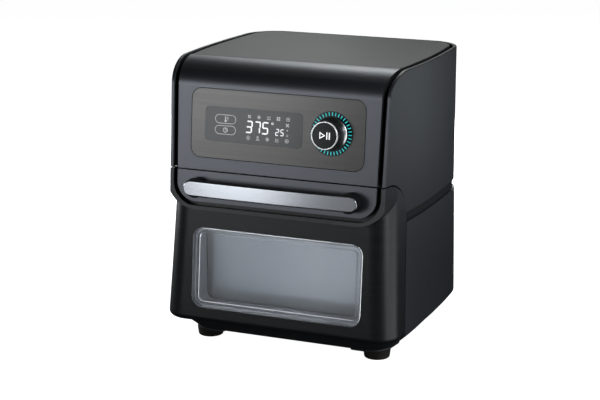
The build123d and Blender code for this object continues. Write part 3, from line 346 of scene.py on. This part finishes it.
fixingSteel = {"dark": (0.34, 0.34, 0.35), "light": (0.55, 0.55, 0.56), "broad": (240.0, 240.0, 240.0),
               "hair": (900.0, 900.0, 900.0), "broadShare": 0.6, "rough": 0.38, "roughVary": 0.2,
               "bump": 0.15, "depth": 0.00006, "fixed": {"Metallic": 1.0}}
sheetSteel = {"dark": (0.36, 0.37, 0.38), "light": (0.54, 0.55, 0.56), "broad": (9.0, 140.0, 30.0),
              "hair": (30.0, 900.0, 90.0), "broadShare": 0.5, "rough": 0.4, "roughVary": 0.2,
              "bump": 0.12, "depth": 0.00006, "fixed": {"Metallic": 1.0}}
linerSteel = {**sheetSteel, "dark": (0.060, 0.062, 0.065), "light": (0.105, 0.108, 0.112), "rough": 0.5}
elementSteel = {"dark": (0.12, 0.11, 0.10), "light": (0.24, 0.22, 0.20), "broad": (90.0, 90.0, 90.0),
                "hair": (700.0, 700.0, 700.0), "broadShare": 0.6, "rough": 0.5, "roughVary": 0.25,
                "bump": 0.2, "depth": 0.0001, "fixed": {"Metallic": 0.9}}
motorSteel = {"dark": (0.28, 0.28, 0.29), "light": (0.44, 0.44, 0.46), "broad": (60.0, 60.0, 400.0),
              "hair": (120.0, 120.0, 1500.0), "broadShare": 0.4, "rough": 0.4, "roughVary": 0.2,
              "bump": 0.15, "depth": 0.00006, "fixed": {"Metallic": 1.0}}
bushBrass = {"dark": (0.52, 0.36, 0.13), "light": (0.72, 0.53, 0.24), "broad": (120.0, 120.0, 500.0),
             "hair": (300.0, 300.0, 1800.0), "broadShare": 0.5, "rough": 0.3, "roughVary": 0.2,
             "bump": 0.12, "depth": 0.00005, "fixed": {"Metallic": 1.0}}
fanAluminium = {"dark": (0.50, 0.51, 0.52), "light": (0.70, 0.71, 0.72), "broad": (70.0, 70.0, 70.0),
                "hair": (160.0, 1100.0, 160.0), "broadShare": 0.5, "rough": 0.36, "roughVary": 0.2,
                "bump": 0.12, "depth": 0.00006, "fixed": {"Metallic": 1.0}}
panelGunmetal = {"dark": (0.120, 0.125, 0.139), "light": (0.148, 0.154, 0.170), "flake": 5000.0, "cloud": 7.0,
                 "rough": 0.40, "roughVary": 0.04, "bump": 0.02, "depth": 0.00003,
                 "fixed": {"Metallic": 0.9}}
knobChrome = {"dark": (0.66, 0.67, 0.68), "light": (0.80, 0.81, 0.82), "rings": 900.0, "smear": 60.0,
              "rough": 0.27, "roughVary": 0.06, "bump": 0.03, "depth": 0.00003, "fixed": {"Metallic": 1.0}}

lightTeal = {"dim": (0.010, 0.42, 0.46), "bright": (0.030, 0.62, 0.64), "dark": (0.02, 0.30, 0.32),
             "light": (0.05, 0.45, 0.46), "patch": 300.0, "rough": 0.4, "fixed": {"Emission Strength": 0.9}}
glyphWhite = {"dim": (0.80, 0.84, 0.86), "bright": (1.0, 1.0, 1.0), "dark": (0.6, 0.62, 0.64),
              "light": (0.8, 0.8, 0.8), "patch": 400.0, "rough": 0.4, "fixed": {"Emission Strength": 0.9}}
glyphGrey = {"dim": (0.50, 0.50, 0.50), "bright": (0.72, 0.72, 0.72), "dark": (0.3, 0.3, 0.3),
             "light": (0.4, 0.4, 0.4), "patch": 400.0, "rough": 0.4, "fixed": {"Emission Strength": 0.6}}
clearGlass = {"dark": (0.90, 0.93, 0.95), "light": (0.97, 0.98, 0.99), "wipe": (16.0, 16.0, 5.0),
              "rough": 0.03, "roughVary": 0.04, "fixed": {"Transmission Weight": 1.0, "IOR": 1.45}}
hazyPane = {"dark": (0.62, 0.66, 0.71), "light": (0.74, 0.77, 0.81), "wipe": (10.0, 10.0, 4.0),
            "rough": 0.50, "roughVary": 0.10, "fixed": {"Transmission Weight": 0.75, "IOR": 1.45}}
boardGreen = {"dark": (0.010, 0.060, 0.025), "mid": (0.014, 0.080, 0.034), "light": (0.030, 0.140, 0.060),
              "tracks": 60.0, "dust": 300.0, "rough": 0.4}

# one finish for each material slot of the record
finishes = {
    "body_black": mouldedPlastic("bodyBlack", bodyBlack),
    "trim_black": mouldedPlastic("trimBlack", trimBlack),
    "cover_grey": mouldedPlastic("coverGrey", coverGrey),
    "rubber_black": mouldedPlastic("rubberBlack", rubberBlack),
    "ring_black": mouldedPlastic("ringBlack", ringBlack),
    "lens_dark": mouldedPlastic("lensDark", lensDark),
    "inner_plastic": mouldedPlastic("innerPlastic", innerPlastic),
    "pot_coated": mouldedPlastic("potCoated", potCoated),
    "drawer_black": brushedMetal("drawerBlack", drawerBlack),
    "control_metal": brushedMetal("controlMetal", controlMetal),
    "handle_silver": brushedMetal("handleSilver", handleSilver),
    "fixing_steel": brushedMetal("fixingSteel", fixingSteel),
    "sheet_steel": brushedMetal("sheetSteel", sheetSteel),
    "element_steel": brushedMetal("elementSteel", elementSteel),
    "motor_steel": brushedMetal("motorSteel", motorSteel),
    "bush_brass": brushedMetal("bushBrass", bushBrass),
    "fan_aluminium": brushedMetal("fanAluminium", fanAluminium),
    "panel_gunmetal": flakeLacquer("panelGunmetal", panelGunmetal),
    "knob_chrome": turnedMetal("knobChrome", knobChrome),
    "light_teal": lit("lightTeal", lightTeal),
    "clear_glass": clearPane("clearGlass", clearGlass),
    "board_green": printedBoard("boardGreen", boardGreen),
}
glyphGlow = lit("glyphWhite", glyphWhite)
glyphFaint = lit("glyphGrey", glyphGrey)

# nodes that look different from the rest of their slot
ownFinish = {"window_tunnel": mouldedPlastic("tunnelGrey", tunnelGrey),
             "inner_glass": clearPane("hazyPane", hazyPane),
             "inner_liner": brushedMetal("linerSteel", linerSteel),
             "upper_housing": mouldedPlastic("housingBlack", housingBlack)}
for node, slotName in slotOf.items():
    for slot in nodes[node].material_slots:
        slot.material = ownFinish.get(node, finishes[slotName])
nodes["dial_light_guide"].visible_glossy = False   # the ticks' glow stays off the bright knob
nodes["dial_light_guide"].visible_diffuse = False
print("finishes on the nodes:", len(finishes))


def activePiece():
    return bpy.context.view_layer.objects.active


def applyPlace(piece):
    bpy.ops.object.select_all(action="DESELECT")
    piece.select_set(True)
    bpy.context.view_layer.objects.active = piece
    bpy.ops.object.transform_apply(location=True, rotation=True, scale=True)


# in edit mode, selects only the faces, edges or verts that pass the test
def pick(piece, kind, test):
    mesh = bmesh.from_edit_mesh(piece.data)
    for part in (*mesh.faces, *mesh.edges, *mesh.verts):
        part.select_set(False)
    for part in getattr(mesh, kind):
        if test(part):
            part.select_set(True)
    bmesh.update_edit_mesh(piece.data)


def thicken(piece, thick):
    layer = piece.modifiers.new("thick", "SOLIDIFY")
    layer.thickness = thick
    layer.offset = 1.0
    bpy.ops.object.modifier_apply(modifier=layer.name)


# a bar lying along x, its corners cut back by the given length
def makeBar(length, width, thick, cut):
    bpy.ops.mesh.primitive_cube_add(size=1.0, location=(0.0, 0.0, thick / 2), scale=(length, width, thick))
    piece = activePiece()
    applyPlace(piece)
    bpy.ops.object.mode_set(mode="EDIT")
    pick(piece, "edges", lambda e: abs(e.verts[0].co.z - e.verts[1].co.z) > thick / 2)
    bpy.ops.mesh.bevel(offset=cut, segments=1)
    bpy.ops.object.mode_set(mode="OBJECT")
    return piece


# from a flat face in edit mode to a raised line along its edge
def keepLine(piece, line, thick):
    bpy.ops.mesh.select_all(action="SELECT")
    bpy.ops.mesh.inset(thickness=line)
    bpy.ops.mesh.delete(type="FACE")
    bpy.ops.object.mode_set(mode="OBJECT")
    thicken(piece, thick)
    return piece


# a closed line round a flat shape with this many corners
def makeLoop(radius, line, thick, corners, turn=0.0):
    bpy.ops.mesh.primitive_circle_add(vertices=corners, radius=radius, fill_type="NGON",
                                      rotation=(0.0, 0.0, turn))
    piece = activePiece()
    applyPlace(piece)
    bpy.ops.object.mode_set(mode="EDIT")
    return keepLine(piece, line, thick)


# a closed line round a rectangle with rounded corners
def makeFrame(width, height, corner, line, thick, steps=8):
    bpy.ops.mesh.primitive_plane_add(size=1.0)
    piece = activePiece()
    piece.scale = (width, height, 1.0)
    applyPlace(piece)
    bpy.ops.object.mode_set(mode="EDIT")
    bpy.ops.mesh.select_all(action="SELECT")
    bpy.ops.mesh.bevel(offset=corner, segments=steps, affect="VERTICES")
    return keepLine(piece, line, thick)


# a filled spot with a chamfered rim
def makeSpot(radius, thick, corners=20, chamferShare=0.4):
    chamfer = thick * chamferShare
    bpy.ops.mesh.primitive_circle_add(vertices=corners, radius=radius, fill_type="NGON")
    piece = activePiece()
    bpy.ops.object.mode_set(mode="EDIT")
    bpy.ops.mesh.select_all(action="SELECT")
    bpy.ops.mesh.extrude_region_move(TRANSFORM_OT_translate={"value": (0.0, 0.0, thick - chamfer)})
    bpy.ops.mesh.inset(thickness=chamfer)
    bpy.ops.transform.translate(value=(0.0, 0.0, chamfer))
    bpy.ops.object.mode_set(mode="OBJECT")
    return piece


def shifted(piece, x, y, turn=0.0):
    piece.location = (x, y, 0.0)
    piece.rotation_euler = (0.0, 0.0, turn)
    return piece


def twin(piece, x, y, turn=0.0):
    other = piece.copy()
    other.data = piece.data.copy()
    bpy.context.collection.objects.link(other)
    return shifted(other, x, y, turn)


# copies set round a point, each turned to face outwards
def turnedRound(source, x, y, count, reach, start=0.0):
    angles = [start + i * math.tau / count for i in range(count)]
    return [twin(source, x + reach * math.cos(angle), y + reach * math.sin(angle), angle) for angle in angles]


# the pattern pieces go once their copies are placed
def putAway(sources):
    for source in sources:
        bpy.data.objects.remove(source)


def joined(parts, name):
    for part in parts:
        applyPlace(part)
    bpy.ops.object.select_all(action="DESELECT")
    for part in parts:
        part.select_set(True)
    bpy.context.view_layer.objects.active = parts[0]
    if len(parts) > 1:
        bpy.ops.object.join()
    parts[0].name = name
    parts[0].data.name = name
    return parts[0]


# a flat drawing goes onto the leaning front, its own up along the front's up
def ontoFront(piece, centre):
    turn = Matrix((frontRight, frontUp, frontOut)).transposed().to_4x4()
    piece.matrix_world = Matrix.Translation(centre) @ turn
    applyPlace(piece)
    bpy.ops.object.mode_set(mode="EDIT")
    bpy.ops.mesh.select_all(action="SELECT")
    bpy.ops.mesh.normals_make_consistent(inside=False)
    bpy.ops.object.mode_set(mode="OBJECT")
    return piece


def dress(piece, material, body):
    piece.data.materials.clear()
    piece.data.materials.append(material)
    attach(piece, body)
    print("piece:", piece.name, len(piece.data.polygons), "faces")


# the display's lit numbers; cutShare is how much of a stroke's width its ends are cut back
digits = {"large": "375", "largeHigh": 15.4 * mm, "largeWide": 8.8 * mm, "largeLine": 1.7 * mm,
          "largeX": (-5.6 * mm, 5.2 * mm, 16.0 * mm), "largeY": -0.4 * mm,
          "small": "25", "smallHigh": 8.4 * mm, "smallWide": 4.6 * mm, "smallLine": 1.0 * mm,
          "smallX": (32.0 * mm, 38.4 * mm), "smallY": -4.1 * mm,
          "degree": (25.4 * mm, 6.0 * mm), "degreeRadius": 1.4 * mm, "degreeLine": 0.6 * mm,
          "degreeCorners": 20, "slant": 0.12, "thick": 0.10 * mm, "gap": 0.25 * mm, "cutShare": 0.42}
strokes = {"0": "abcdef", "1": "bc", "2": "abged", "3": "abgcd", "4": "fgbc", "5": "afgcd", "6": "afgedc",
           "7": "abc", "8": "abcdefg", "9": "abcdfg"}


def makeNumber(text, high, wide, line, places, row):
    half = (high - line) / 2
    side = wide - line
    cut = line * digits["cutShare"]
    flat = makeBar(side - digits["gap"], line, digits["thick"], cut)
    upright = makeBar(half - digits["gap"], line, digits["thick"], cut)
    spots = {"a": (flat, 0.0, half, 0.0), "g": (flat, 0.0, 0.0, 0.0), "d": (flat, 0.0, -half, 0.0),
             "b": (upright, side / 2, half / 2, quarterTurn),
             "c": (upright, side / 2, -half / 2, quarterTurn),
             "f": (upright, -side / 2, half / 2, quarterTurn),
             "e": (upright, -side / 2, -half / 2, quarterTurn)}
    parts = []
    for sign, x in zip(text, places):
        for stroke in strokes[sign]:
            source, dx, dy, turn = spots[stroke]
            parts.append(twin(source, x + dx + dy * digits["slant"], row + dy, turn))
    putAway((flat, upright))
    return parts


lensFace = faceCentre("display_lens")
parts = makeNumber(digits["large"], digits["largeHigh"], digits["largeWide"], digits["largeLine"],
                   digits["largeX"], digits["largeY"])
parts += makeNumber(digits["small"], digits["smallHigh"], digits["smallWide"], digits["smallLine"],
                    digits["smallX"], digits["smallY"])
degree = makeLoop(digits["degreeRadius"], digits["degreeLine"], digits["thick"], digits["degreeCorners"])
parts.append(shifted(degree, *digits["degree"]))
displayDigits = ontoFront(joined(parts, "displayDigits"), lensFace)
dress(displayDigits, glyphGlow, "housing")

# the two touch outlines left of the numbers, a thermometer in one and a clock in the other
touch = {"wide": 28.2 * mm, "high": 11.2 * mm, "roundShare": 0.49, "line": 0.7 * mm, "thick": 0.10 * mm,
         "warm": (-37.6 * mm, 6.6 * mm), "time": (-37.6 * mm, -6.8 * mm),
         "stemLong": 5.4 * mm, "stemWide": 1.5 * mm, "stemCut": 0.6 * mm, "stemUp": 0.8 * mm,
         "bulbRadius": 1.5 * mm, "bulbDown": 2.2 * mm,
         "dashLong": 2.2 * mm, "dashWide": 0.6 * mm, "dashCut": 0.2 * mm,
         "dashX": 3.0 * mm, "dashY": (2.6 * mm, 0.9 * mm, -0.8 * mm),
         "clockRadius": 3.2 * mm, "clockLine": 0.9 * mm, "clockCorners": 28,
         "handLong": 2.4 * mm, "handWide": 0.7 * mm, "handCut": 0.2 * mm, "handReach": 1.0 * mm}
thick = touch["thick"]
outline = makeFrame(touch["wide"], touch["high"], touch["high"] * touch["roundShare"], touch["line"], thick)
warmX, warmY = touch["warm"]
timeX, timeY = touch["time"]
stem = makeBar(touch["stemLong"], touch["stemWide"], thick, touch["stemCut"])
bulb = makeSpot(touch["bulbRadius"], thick)
dash = makeBar(touch["dashLong"], touch["dashWide"], thick, touch["dashCut"])
clockRing = makeLoop(touch["clockRadius"], touch["clockLine"], thick, touch["clockCorners"])
hand = makeBar(touch["handLong"], touch["handWide"], thick, touch["handCut"])
parts = [twin(outline, warmX, warmY), twin(outline, timeX, timeY),
         twin(stem, warmX, warmY + touch["stemUp"], quarterTurn),
         twin(bulb, warmX, warmY - touch["bulbDown"]),
         *(twin(dash, warmX + touch["dashX"], warmY + lift) for lift in touch["dashY"]),
         twin(clockRing, timeX, timeY), twin(hand, timeX, timeY + touch["handReach"], quarterTurn),
         twin(hand, timeX + touch["handReach"], timeY)]
putAway((outline, stem, bulb, dash, clockRing, hand))
touchOutlines = ontoFront(joined(parts, "touchOutlines"), lensFace)
dress(touchOutlines, glyphFaint, "housing")

# small plain marks above and below the numbers and in a column at the right
marks = {"topX": (-5.6, 7.2, 20.3, 33.1, 45.8), "topY": 12.4,
         "lowX": (-6.4, 6.3, 19.1, 31.8, 45.0), "lowY": -13.9,
         "sideX": 45.2, "fanY": 5.2, "dotY": -1.0, "barY": -7.2, "barApart": 0.8,
         "high": 5.4, "line": 0.6, "thick": 0.10,   # up to here in millimetres
         "cut": 0.3, "bladeWide": 2.0, "bladeCut": 0.7,   # times the line
         "hoopCorners": 24, "smallHoopCorners": 20, "diamondCorners": 4,
         "blades": 4, "rays": 8, "frostArms": 3,
         "shares": {"shortArm": 0.5, "blade": 0.42, "ray": 0.2, "hoop": 0.46, "smallHoop": 0.28, "dot": 0.16,
                    "tile": 0.36, "diamond": 0.5, "tileStep": 0.24, "rayReach": 0.46, "bladeReach": 0.3,
                    "heatDown": 0.34, "heatSide": 0.3, "heatUp": 0.12,
                    "dishDown": 0.36, "domeUp": 0.05, "knobUp": 0.46}}   # times the height
high, line, thick = marks["high"] * mm, marks["line"] * mm, marks["thick"] * mm
markSize = {name: high * share for name, share in marks["shares"].items()}
cut = line * marks["cut"]
arm = makeBar(high, line, thick, cut)
shortArm = makeBar(markSize["shortArm"], line, thick, cut)
blade = makeBar(markSize["blade"], line * marks["bladeWide"], thick, line * marks["bladeCut"])
hoop = makeLoop(markSize["hoop"], line, thick, marks["hoopCorners"])
smallHoop = makeLoop(markSize["smallHoop"], line, thick, marks["smallHoopCorners"])
dot = makeSpot(markSize["dot"], thick)
tile = makeBar(markSize["tile"], markSize["tile"], thick, cut)
diamond = makeLoop(markSize["diamond"], line, thick, marks["diamondCorners"])
ray = makeBar(markSize["ray"], line, thick, cut)


def frost(x, y):
    return [twin(arm, x, y, i * sixthTurn) for i in range(marks["frostArms"])]


def sun(x, y):
    return [twin(smallHoop, x, y), *turnedRound(ray, x, y, marks["rays"], markSize["rayReach"])]


def heat(x, y):
    places = [x + side * markSize["heatSide"] for side in (-1, 0, 1)]
    return [twin(arm, x, y - markSize["heatDown"]),
            *(twin(shortArm, place, y + markSize["heatUp"], quarterTurn) for place in places)]


def fan(x, y):
    middle = twin(dot, x, y)
    return [middle, *turnedRound(blade, x, y, marks["blades"], markSize["bladeReach"], quarterTurn / 2)]


def target(x, y):
    return [twin(hoop, x, y), twin(dot, x, y)]


def tiles(x, y):
    step = markSize["tileStep"]
    return [twin(tile, x + dx, y + dy) for dx in (-step, step) for dy in (-step, step)]


def gem(x, y):
    return [twin(diamond, x, y), twin(dot, x, y)]


def cover(x, y):
    return [twin(arm, x, y - markSize["dishDown"]), twin(smallHoop, x, y + markSize["domeUp"]),
            twin(dot, x, y + markSize["knobUp"])]


parts = []
for maker, x in zip((fan, frost, heat, tiles, target), marks["topX"]):
    parts += maker(x * mm, marks["topY"] * mm)
for maker, x in zip((sun, cover, gem, heat, target), marks["lowX"]):
    parts += maker(x * mm, marks["lowY"] * mm)
sideX = marks["sideX"] * mm
parts += fan(sideX, marks["fanY"] * mm)
parts.append(twin(dot, sideX, marks["dotY"] * mm))
parts += [twin(shortArm, sideX, (marks["barY"] + side * marks["barApart"]) * mm) for side in (-1, 1)]
putAway((arm, shortArm, blade, hoop, smallHoop, dot, tile, diamond, ray))
displayMarks = ontoFront(joined(parts, "displayMarks"), lensFace)
dress(displayMarks, glyphFaint, "housing")

# start and pause sign on the button inside the dial; barWide and barCut count in line widths
startSign = {"high": 8.6 * mm, "line": 1.15 * mm, "thick": 0.10 * mm, "triangleX": -3.8 * mm, "corners": 3,
             "barX": (3.2 * mm, 6.4 * mm), "barWide": 1.25, "barCut": 0.3}
line, thick = startSign["line"], startSign["thick"]
around = startSign["high"] / math.sqrt(3)   # the triangle's sides are as long as the sign is high
triangle = makeLoop(around, line, thick, startSign["corners"], -quarterTurn)
pauseBar = makeBar(startSign["high"], line * startSign["barWide"], thick, line * startSign["barCut"])
parts = [shifted(triangle, startSign["triangleX"], 0.0)]
parts += [twin(pauseBar, x, 0.0, quarterTurn) for x in startSign["barX"]]
putAway((pauseBar,))
startPauseSign = ontoFront(joined(parts, "startPauseSign"), faceCentre("button_cap"))
dress(startPauseSign, glyphGlow, "start_button")

# painted shadow: a dark line laid in the narrow groove round the control plate
plateShadowLine = {"corner": 13.3 * mm, "line": 0.7 * mm, "over": 0.4 * mm, "thick": 0.05 * mm}
plateSide = [v.co.dot(frontRight) for v in nodes["control_plate"].data.vertices]
plateRise = [v.co.dot(frontUp) for v in nodes["control_plate"].data.vertices]
shadowLoop = makeFrame(max(plateSide) - min(plateSide) + 2 * plateShadowLine["over"],
                   max(plateRise) - min(plateRise) + 2 * plateShadowLine["over"],
                   plateShadowLine["corner"], plateShadowLine["line"], plateShadowLine["thick"])
plateGroove = ontoFront(joined([shadowLoop], "plateGroove"), faceCentre("control_plate"))
dress(plateGroove, finishes["trim_black"], "housing")

# small grip tab standing on the tunnel's lower wall, just behind the window
tab = {"x": 1.0 * mm, "back": 3.2 * mm, "wide": 7.0 * mm, "deep": 3.0 * mm, "high": 4.0 * mm,
       "corner": 1.4 * mm, "steps": 4, "sunk": 0.3 * mm, "dropFrom": 20.0 * mm, "near": 0.1 * mm}
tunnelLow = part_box("window_tunnel")[0]
above = Vector((tab["x"], tunnelLow.y + tab["back"], tunnelLow.z + tab["dropFrom"]))
foot = nodes["window_tunnel"].ray_cast(above, Vector((0, 0, -1)))[1]   # where a drop from above lands
bpy.ops.mesh.primitive_cube_add(size=1.0, location=foot + Vector((0.0, 0.0, tab["high"] / 2 - tab["sunk"])),
                                scale=(tab["wide"], tab["deep"], tab["high"]))
windowTab = activePiece()
applyPlace(windowTab)
bpy.ops.object.mode_set(mode="EDIT")
top = foot.z + tab["high"] - tab["sunk"]
pick(windowTab, "edges", lambda e: all(abs(v.co.z - top) < tab["near"] for v in e.verts))
bpy.ops.mesh.bevel(offset=tab["corner"], segments=tab["steps"])
bpy.ops.object.mode_set(mode="OBJECT")
windowTab.name = windowTab.data.name = "windowTab"
dress(windowTab, ownFinish["window_tunnel"], "drawer")


# how a camera or lamp at one place turns to face another
def lookingAt(place, aim):
    return (Vector(aim) - Vector(place)).to_track_quat("-Z", "Y").to_euler()


view = {"eye": (0.8130, -1.9662, 0.7133), "aim": (-0.0306, 0.018, 0.1651), "lens": 101.53, "sensor": 36.0,
        "clipEnd": 100.0}
bpy.ops.object.camera_add(location=view["eye"])
camera = activePiece()
camera.name = "photoCamera"
camera.rotation_euler = lookingAt(view["eye"], view["aim"])
camera.data.lens = view["lens"]
camera.data.sensor_width = view["sensor"]
camera.data.sensor_fit = "HORIZONTAL"
camera.data.clip_end = view["clipEnd"]
bpy.context.scene.camera = camera

floorLook = {"size": 40.0, "glow": 0.97, "rough": 0.8, "cloud": 3.0, "tones": (0.3, 0.7),
             "dark": (0.86, 0.86, 0.87), "light": (0.90, 0.90, 0.90)}
bpy.ops.mesh.primitive_plane_add(size=floorLook["size"], location=(0.0, 0.0, cadBox[0][2]))
floor = activePiece()
floor.name = "floorSheet"
floor.visible_diffuse = False   # the pale floor throws no light back up at the dark casing
floor.visible_glossy = False
paper, shader, place = newFinish("floorPaper", {"Roughness": floorLook["rough"],
                                               "Emission Color": (1.0, 1.0, 1.0, 1.0),
                                               "Emission Strength": floorLook["glow"]})
shaded(noise(place, floorLook["cloud"]), floorLook["tones"],
       floorLook["dark"], floorLook["light"]).into(shader, "Base Color")
floor.data.materials.append(paper)

coolWhite = (0.95, 0.975, 1.0)
greenWhite = (0.97, 1.0, 0.98)
lamps = {
    "keyLeft": {"at": (-1.025, -2.00, 0.50), "aim": (0.0, -0.1, 0.24), "size": (0.62, 0.84), "watts": 7.2,
                "tint": coolWhite},
    "fillFront": {"at": (-0.35, -2.15, 0.45), "aim": (0.0, -0.1, 0.24), "size": (0.80, 0.80), "watts": 0.9,
                  "tint": coolWhite},
    "sideKey": {"at": (0.90, -0.55, 0.75), "aim": (0.10, -0.1, 0.28), "size": (0.25, 0.25), "watts": 3.0,
                "tint": (0.90, 0.96, 1.0)},
    "sideBack": {"at": (0.80, 0.72, 0.22), "aim": (0.157, -0.1, 0.26), "size": (0.70, 0.40), "watts": 0.80,
                 "tint": (0.86, 0.94, 1.0)},
    "knobStrip": {"at": (0.78, -0.46, 0.34), "aim": (0.08, -0.14, 0.29), "size": (0.24, 0.62), "watts": 1.1,
                  "tint": (0.97, 0.985, 1.0)},
    "floorRight": {"at": (0.62, -0.10, 0.03), "aim": (0.15, -0.1, 0.22), "size": (0.50, 0.40), "watts": 0.9,
                   "tint": coolWhite},
    "browStrip": {"at": (-0.497, 1.622, 1.64), "aim": (0.273, 0.142, 0.34), "size": (0.8, 0.64), "watts": 8.4,
                  "tint": greenWhite},
    "backWall": {"at": (-0.71, 1.05, 0.78), "aim": (0.0, 0.0, 0.36), "size": (0.70, 0.50), "watts": 0.68,
                 "tint": greenWhite},
    "leftSide": {"at": (-1.25, 0.25, 0.28), "aim": (-0.15, 0.0, 0.20), "size": (0.80, 0.40), "watts": 9.0,
                 "tint": coolWhite},
    "backSide": {"at": (-0.45, 1.35, 0.20), "aim": (0.0, 0.15, 0.20), "size": (0.80, 0.30), "watts": 9.0,
                 "tint": coolWhite},
    "topRight": {"at": (0.70, 0.45, 1.35), "aim": (0.0, 0.0, 0.366), "size": (0.50, 0.50), "watts": 3.0,
                 "tint": coolWhite},
    "insidePot": {"at": (-0.03, 0.05, 0.222), "aim": (-0.03, 0.105, 0.13), "size": (0.20, 0.07),
                  "watts": 0.85, "tint": (1.0, 1.0, 1.0)},
}
for name, lamp in lamps.items():
    bpy.ops.object.light_add(type="AREA", location=lamp["at"])
    light = activePiece()
    light.name = name
    light.rotation_euler = lookingAt(lamp["at"], lamp["aim"])
    light.data.shape = "RECTANGLE"
    light.data.size, light.data.size_y = lamp["size"]
    light.data.energy = lamp["watts"]
    light.data.color = lamp["tint"]
    light.visible_camera = False

studioLook = {"colour": (0.50, 0.52, 0.56, 1.0), "strength": 0.025}
studio = bpy.data.worlds.new("studioGrey")
bpy.context.scene.world = studio
studio.use_nodes = True
studio.node_tree.nodes["Background"].inputs["Color"].default_value = studioLook["colour"]
studio.node_tree.nodes["Background"].inputs["Strength"].default_value = studioLook["strength"]
bpy.context.scene.view_settings.view_transform = "Standard"
print("camera, floor and", len(lamps), "lights")
